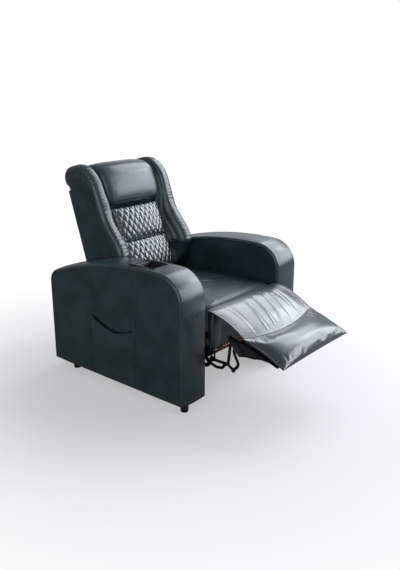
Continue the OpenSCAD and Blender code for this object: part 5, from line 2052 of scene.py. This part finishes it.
@dataclass
class Sewing:
    """Thread and staples of the whole chair, once every line is gathered."""

    def build(self) -> list[Piece]:
        """Builds one mesh of stitches and one of staples for each body.

        Returns:
            The pieces.
        """
        made = []
        for kind, name, slot in ((THREAD, "stitches", "leather"), (STAPLES, "staples", "black_steel")):
            for body in kind.lines:
                piece = kind.grow(body, f"{name}_{body}")
                if body == "flap":
                    follow_flap(piece)
                else:
                    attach(piece, body)
                made.append(piece)
        return made


# Steel, plastic and wood


@dataclass
class HardParts:
    """CAD pieces that keep their shape: their edges are rounded and they get a finish."""

    def build(self) -> list[Piece]:
        """Dresses the wooden, steel and plastic pieces.

        Returns:
            The pieces made anew.
        """
        record = frame["record"]["behaviour"]["bodies"]
        home = {node: body for body, nodes in record.items() for node in nodes}
        made = []
        for finish, slot, widths in (
                ("black_plastic", "black_plastic",
                 {"console_tray": 1.1, "foot_": 2.0, "control_panel": 0.6, "power_box": 2.5,
                  "footrest_rocker": 0.8, "back_rocker": 0.8, "inlet_socket": 0.8}),
                ("motor_housing", "motor_housing", {"footrest_motor": 3.0, "back_motor": 3.0}),
                ("copper_strip", "copper_strip", {"front_strip": 0.4}),
                ("black_steel", "black_steel",
                 {"mechanism_plate": 0.5, "long_bar": 0.5, "upper_link": 0.5, "dogleg_link": 0.5,
                  "curved_link": 0.5, "footrest_bracket": 0.5, "drive_yoke": 0.5}),
                ("motor_housing", "black_steel", {"footrest_slider": 1.0, "back_slider": 1.0}),
                ("black_steel", "black_steel", {"back_brackets": 0.6})):
            for start, width in widths.items():
                for node in sorted(n for n in NODES if n.startswith(start)):
                    piece = softened(node, f"{node}_finished", width)
                    made.append(dress(piece, finish, home[node], node))
        for finish, starts in (
                ("frame_wood", ("arm_frame", "side_rail", "front_rail", "cross_beams", "back_frame")),
                ("panel_leather", ("rear_panel",)), ("bare_steel", ("seat_springs",))):
            for node in (n for n in NODES if n.startswith(starts)):
                NODES[node].data.materials.clear()
                NODES[node].data.materials.append(FINISHES[finish])
        return made


# Studio


@dataclass(frozen=True)
class Camera:
    """The photograph's viewpoint, with its lens in pixels of a 400 x 570 picture."""

    eye: tuple[float, float, float] = (-2.27647, -1.64257, 1.37682)
    heading: float = 0.8734
    dip: float = 0.3044
    focal_px: float = 644.251
    picture_h: float = 570.0
    sensor: float = 36.0

    def build(self) -> Piece:
        """Places the camera.

        Returns:
            The camera.
        """
        data = bpy.data.cameras.new("photo_camera")
        data.sensor_fit = "VERTICAL"
        data.sensor_height = data.sensor_width = self.sensor
        data.lens = self.focal_px / self.picture_h * self.sensor
        camera = linked("photo_camera", data)
        look = Vector((math.sin(self.heading) * math.cos(self.dip),
                       math.cos(self.heading) * math.cos(self.dip), -math.sin(self.dip)))
        camera.location = (self.eye[0], self.eye[1] + ARM_FRONT, self.eye[2])
        camera.rotation_euler = look.to_track_quat("-Z", "Y").to_euler()
        bpy.context.scene.camera = camera
        return camera


@dataclass(frozen=True)
class Lamp:
    """Soft rectangular lamp aimed at a point."""

    name: str
    at: tuple[float, float, float]
    aim: tuple[float, float, float]
    size: tuple[float, float]
    watts: float
    colour: tuple[float, float, float] = (0.87, 0.93, 1.0)

    def build(self) -> None:
        """Places the lamp."""
        data = bpy.data.lights.new(self.name, "AREA")
        data.shape = "RECTANGLE"
        data.size, data.size_y = self.size
        data.energy = self.watts
        data.color = self.colour
        lamp = linked(self.name, data)
        lamp.location = self.at
        lamp.rotation_euler = (Vector(self.aim) - Vector(self.at)).to_track_quat("-Z", "Y").to_euler()


class Studio:
    """Pale floor, soft lamps and the world's light."""

    lamps = (
        Lamp("front_right", (3.0, -2.6, 2.15), (0.0, -1.6, 1.3), (4.2, 2.6), 165.0),
        Lamp("high_right", (2.6, 0.1, 3.0), (0.0, 0.0, 0.4), (2.8, 2.0), 78.0),
        Lamp("rear_right", (2.8, 2.4, 1.8), (0.0, 0.3, 0.5), (2.4, 2.0), 8.0),
        Lamp("left_fill", (-3.4, -1.4, 1.7), (0.0, 0.0, 0.5), (3.4, 3.0), 44.0),
    )

    def build(self) -> None:
        """Builds the floor, the world and the lamps."""
        mesh = bpy.data.meshes.new("floor")
        reach = 12.0
        mesh.from_pydata(corners(-reach, reach, -reach, reach, 0.0)[:4].tolist(), [], [(0, 1, 2, 3)])
        floor = linked("floor", mesh)
        material, w, place = new_material("floor")
        away = w.add("ShaderNodeVectorMath", {0: place}, operation="LENGTH").outputs["Value"]
        rays = w.add("ShaderNodeLightPath")
        colour = w.blend(rays.outputs["Is Camera Ray"], (0.3, 0.3, 0.3, 1.0), (0.86, 0.86, 0.86, 1.0))
        shader = w.add("ShaderNodeBsdfPrincipled", {"Base Color": colour, "Roughness": 0.9,
                                                   "Specular IOR Level": 0.1})
        white = w.add("ShaderNodeEmission", {"Color": (1.0, 1.0, 1.0, 1.0), "Strength": 1.0})
        seen = w.math("MULTIPLY_ADD", rays.outputs["Is Glossy Ray"], 0.05, rays.outputs["Is Camera Ray"])
        share = w.math("MULTIPLY", w.ramp(away, 0.6, 1.9, 0.4, 1.0), seen)
        mix = w.add("ShaderNodeMixShader", {0: share, 1: shader.outputs[0], 2: white.outputs[0]})
        w.add("ShaderNodeOutputMaterial", {"Surface": mix.outputs[0]})
        mesh.materials.append(material)
        world = bpy.data.worlds.new("studio")
        bpy.context.scene.world = world
        world.use_nodes = True
        w = Wiring(world.node_tree)
        rays = w.add("ShaderNodeLightPath")
        dim = w.add("ShaderNodeBackground", {"Color": (0.9, 0.95, 1.0, 1.0), "Strength": 0.22})
        white = w.add("ShaderNodeBackground", {"Color": (1.0, 1.0, 1.0, 1.0), "Strength": 1.0})
        seen = w.math("MULTIPLY_ADD", rays.outputs["Is Glossy Ray"], 0.1, rays.outputs["Is Camera Ray"])
        mix = w.add("ShaderNodeMixShader", {0: seen, 1: dim.outputs[0], 2: white.outputs[0]})
        w.add("ShaderNodeOutputWorld", {"Surface": mix.outputs[0]})
        for lamp in self.lamps:
            lamp.build()


def main() -> None:
    """Builds the chair's pieces in order, and reports each."""
    logging.basicConfig(level=logging.INFO, format="%(name)s: %(message)s")
    bpy.context.scene.view_settings.view_transform = "Standard"
    Camera().build()
    Studio().build()
    make_finishes()
    assemblies = [
        ArmCovers(Side.RIGHT), ArmCovers(Side.LEFT), SidePocket(), SeatCushion(), SeatFront(), SeatFlap(),
        FootrestPad(), Wing(side=Side.RIGHT), Wing(side=Side.LEFT), HeadCushion(),
        LumbarCushion(name="upper"),
        LumbarCushion(name="lower", low=60.0, high=235.0, depth_low=205.0, depth_high=189.0),
        TopRoll(), BackShell(), HardParts(), Sewing(), Fixings(),
    ]
    for assembly in assemblies:
        for piece in assembly.build():
            LOG.info("%s: %s, %d faces", type(assembly).__name__, piece.name, len(piece.data.polygons))


if __name__ == "__main__":
    main()
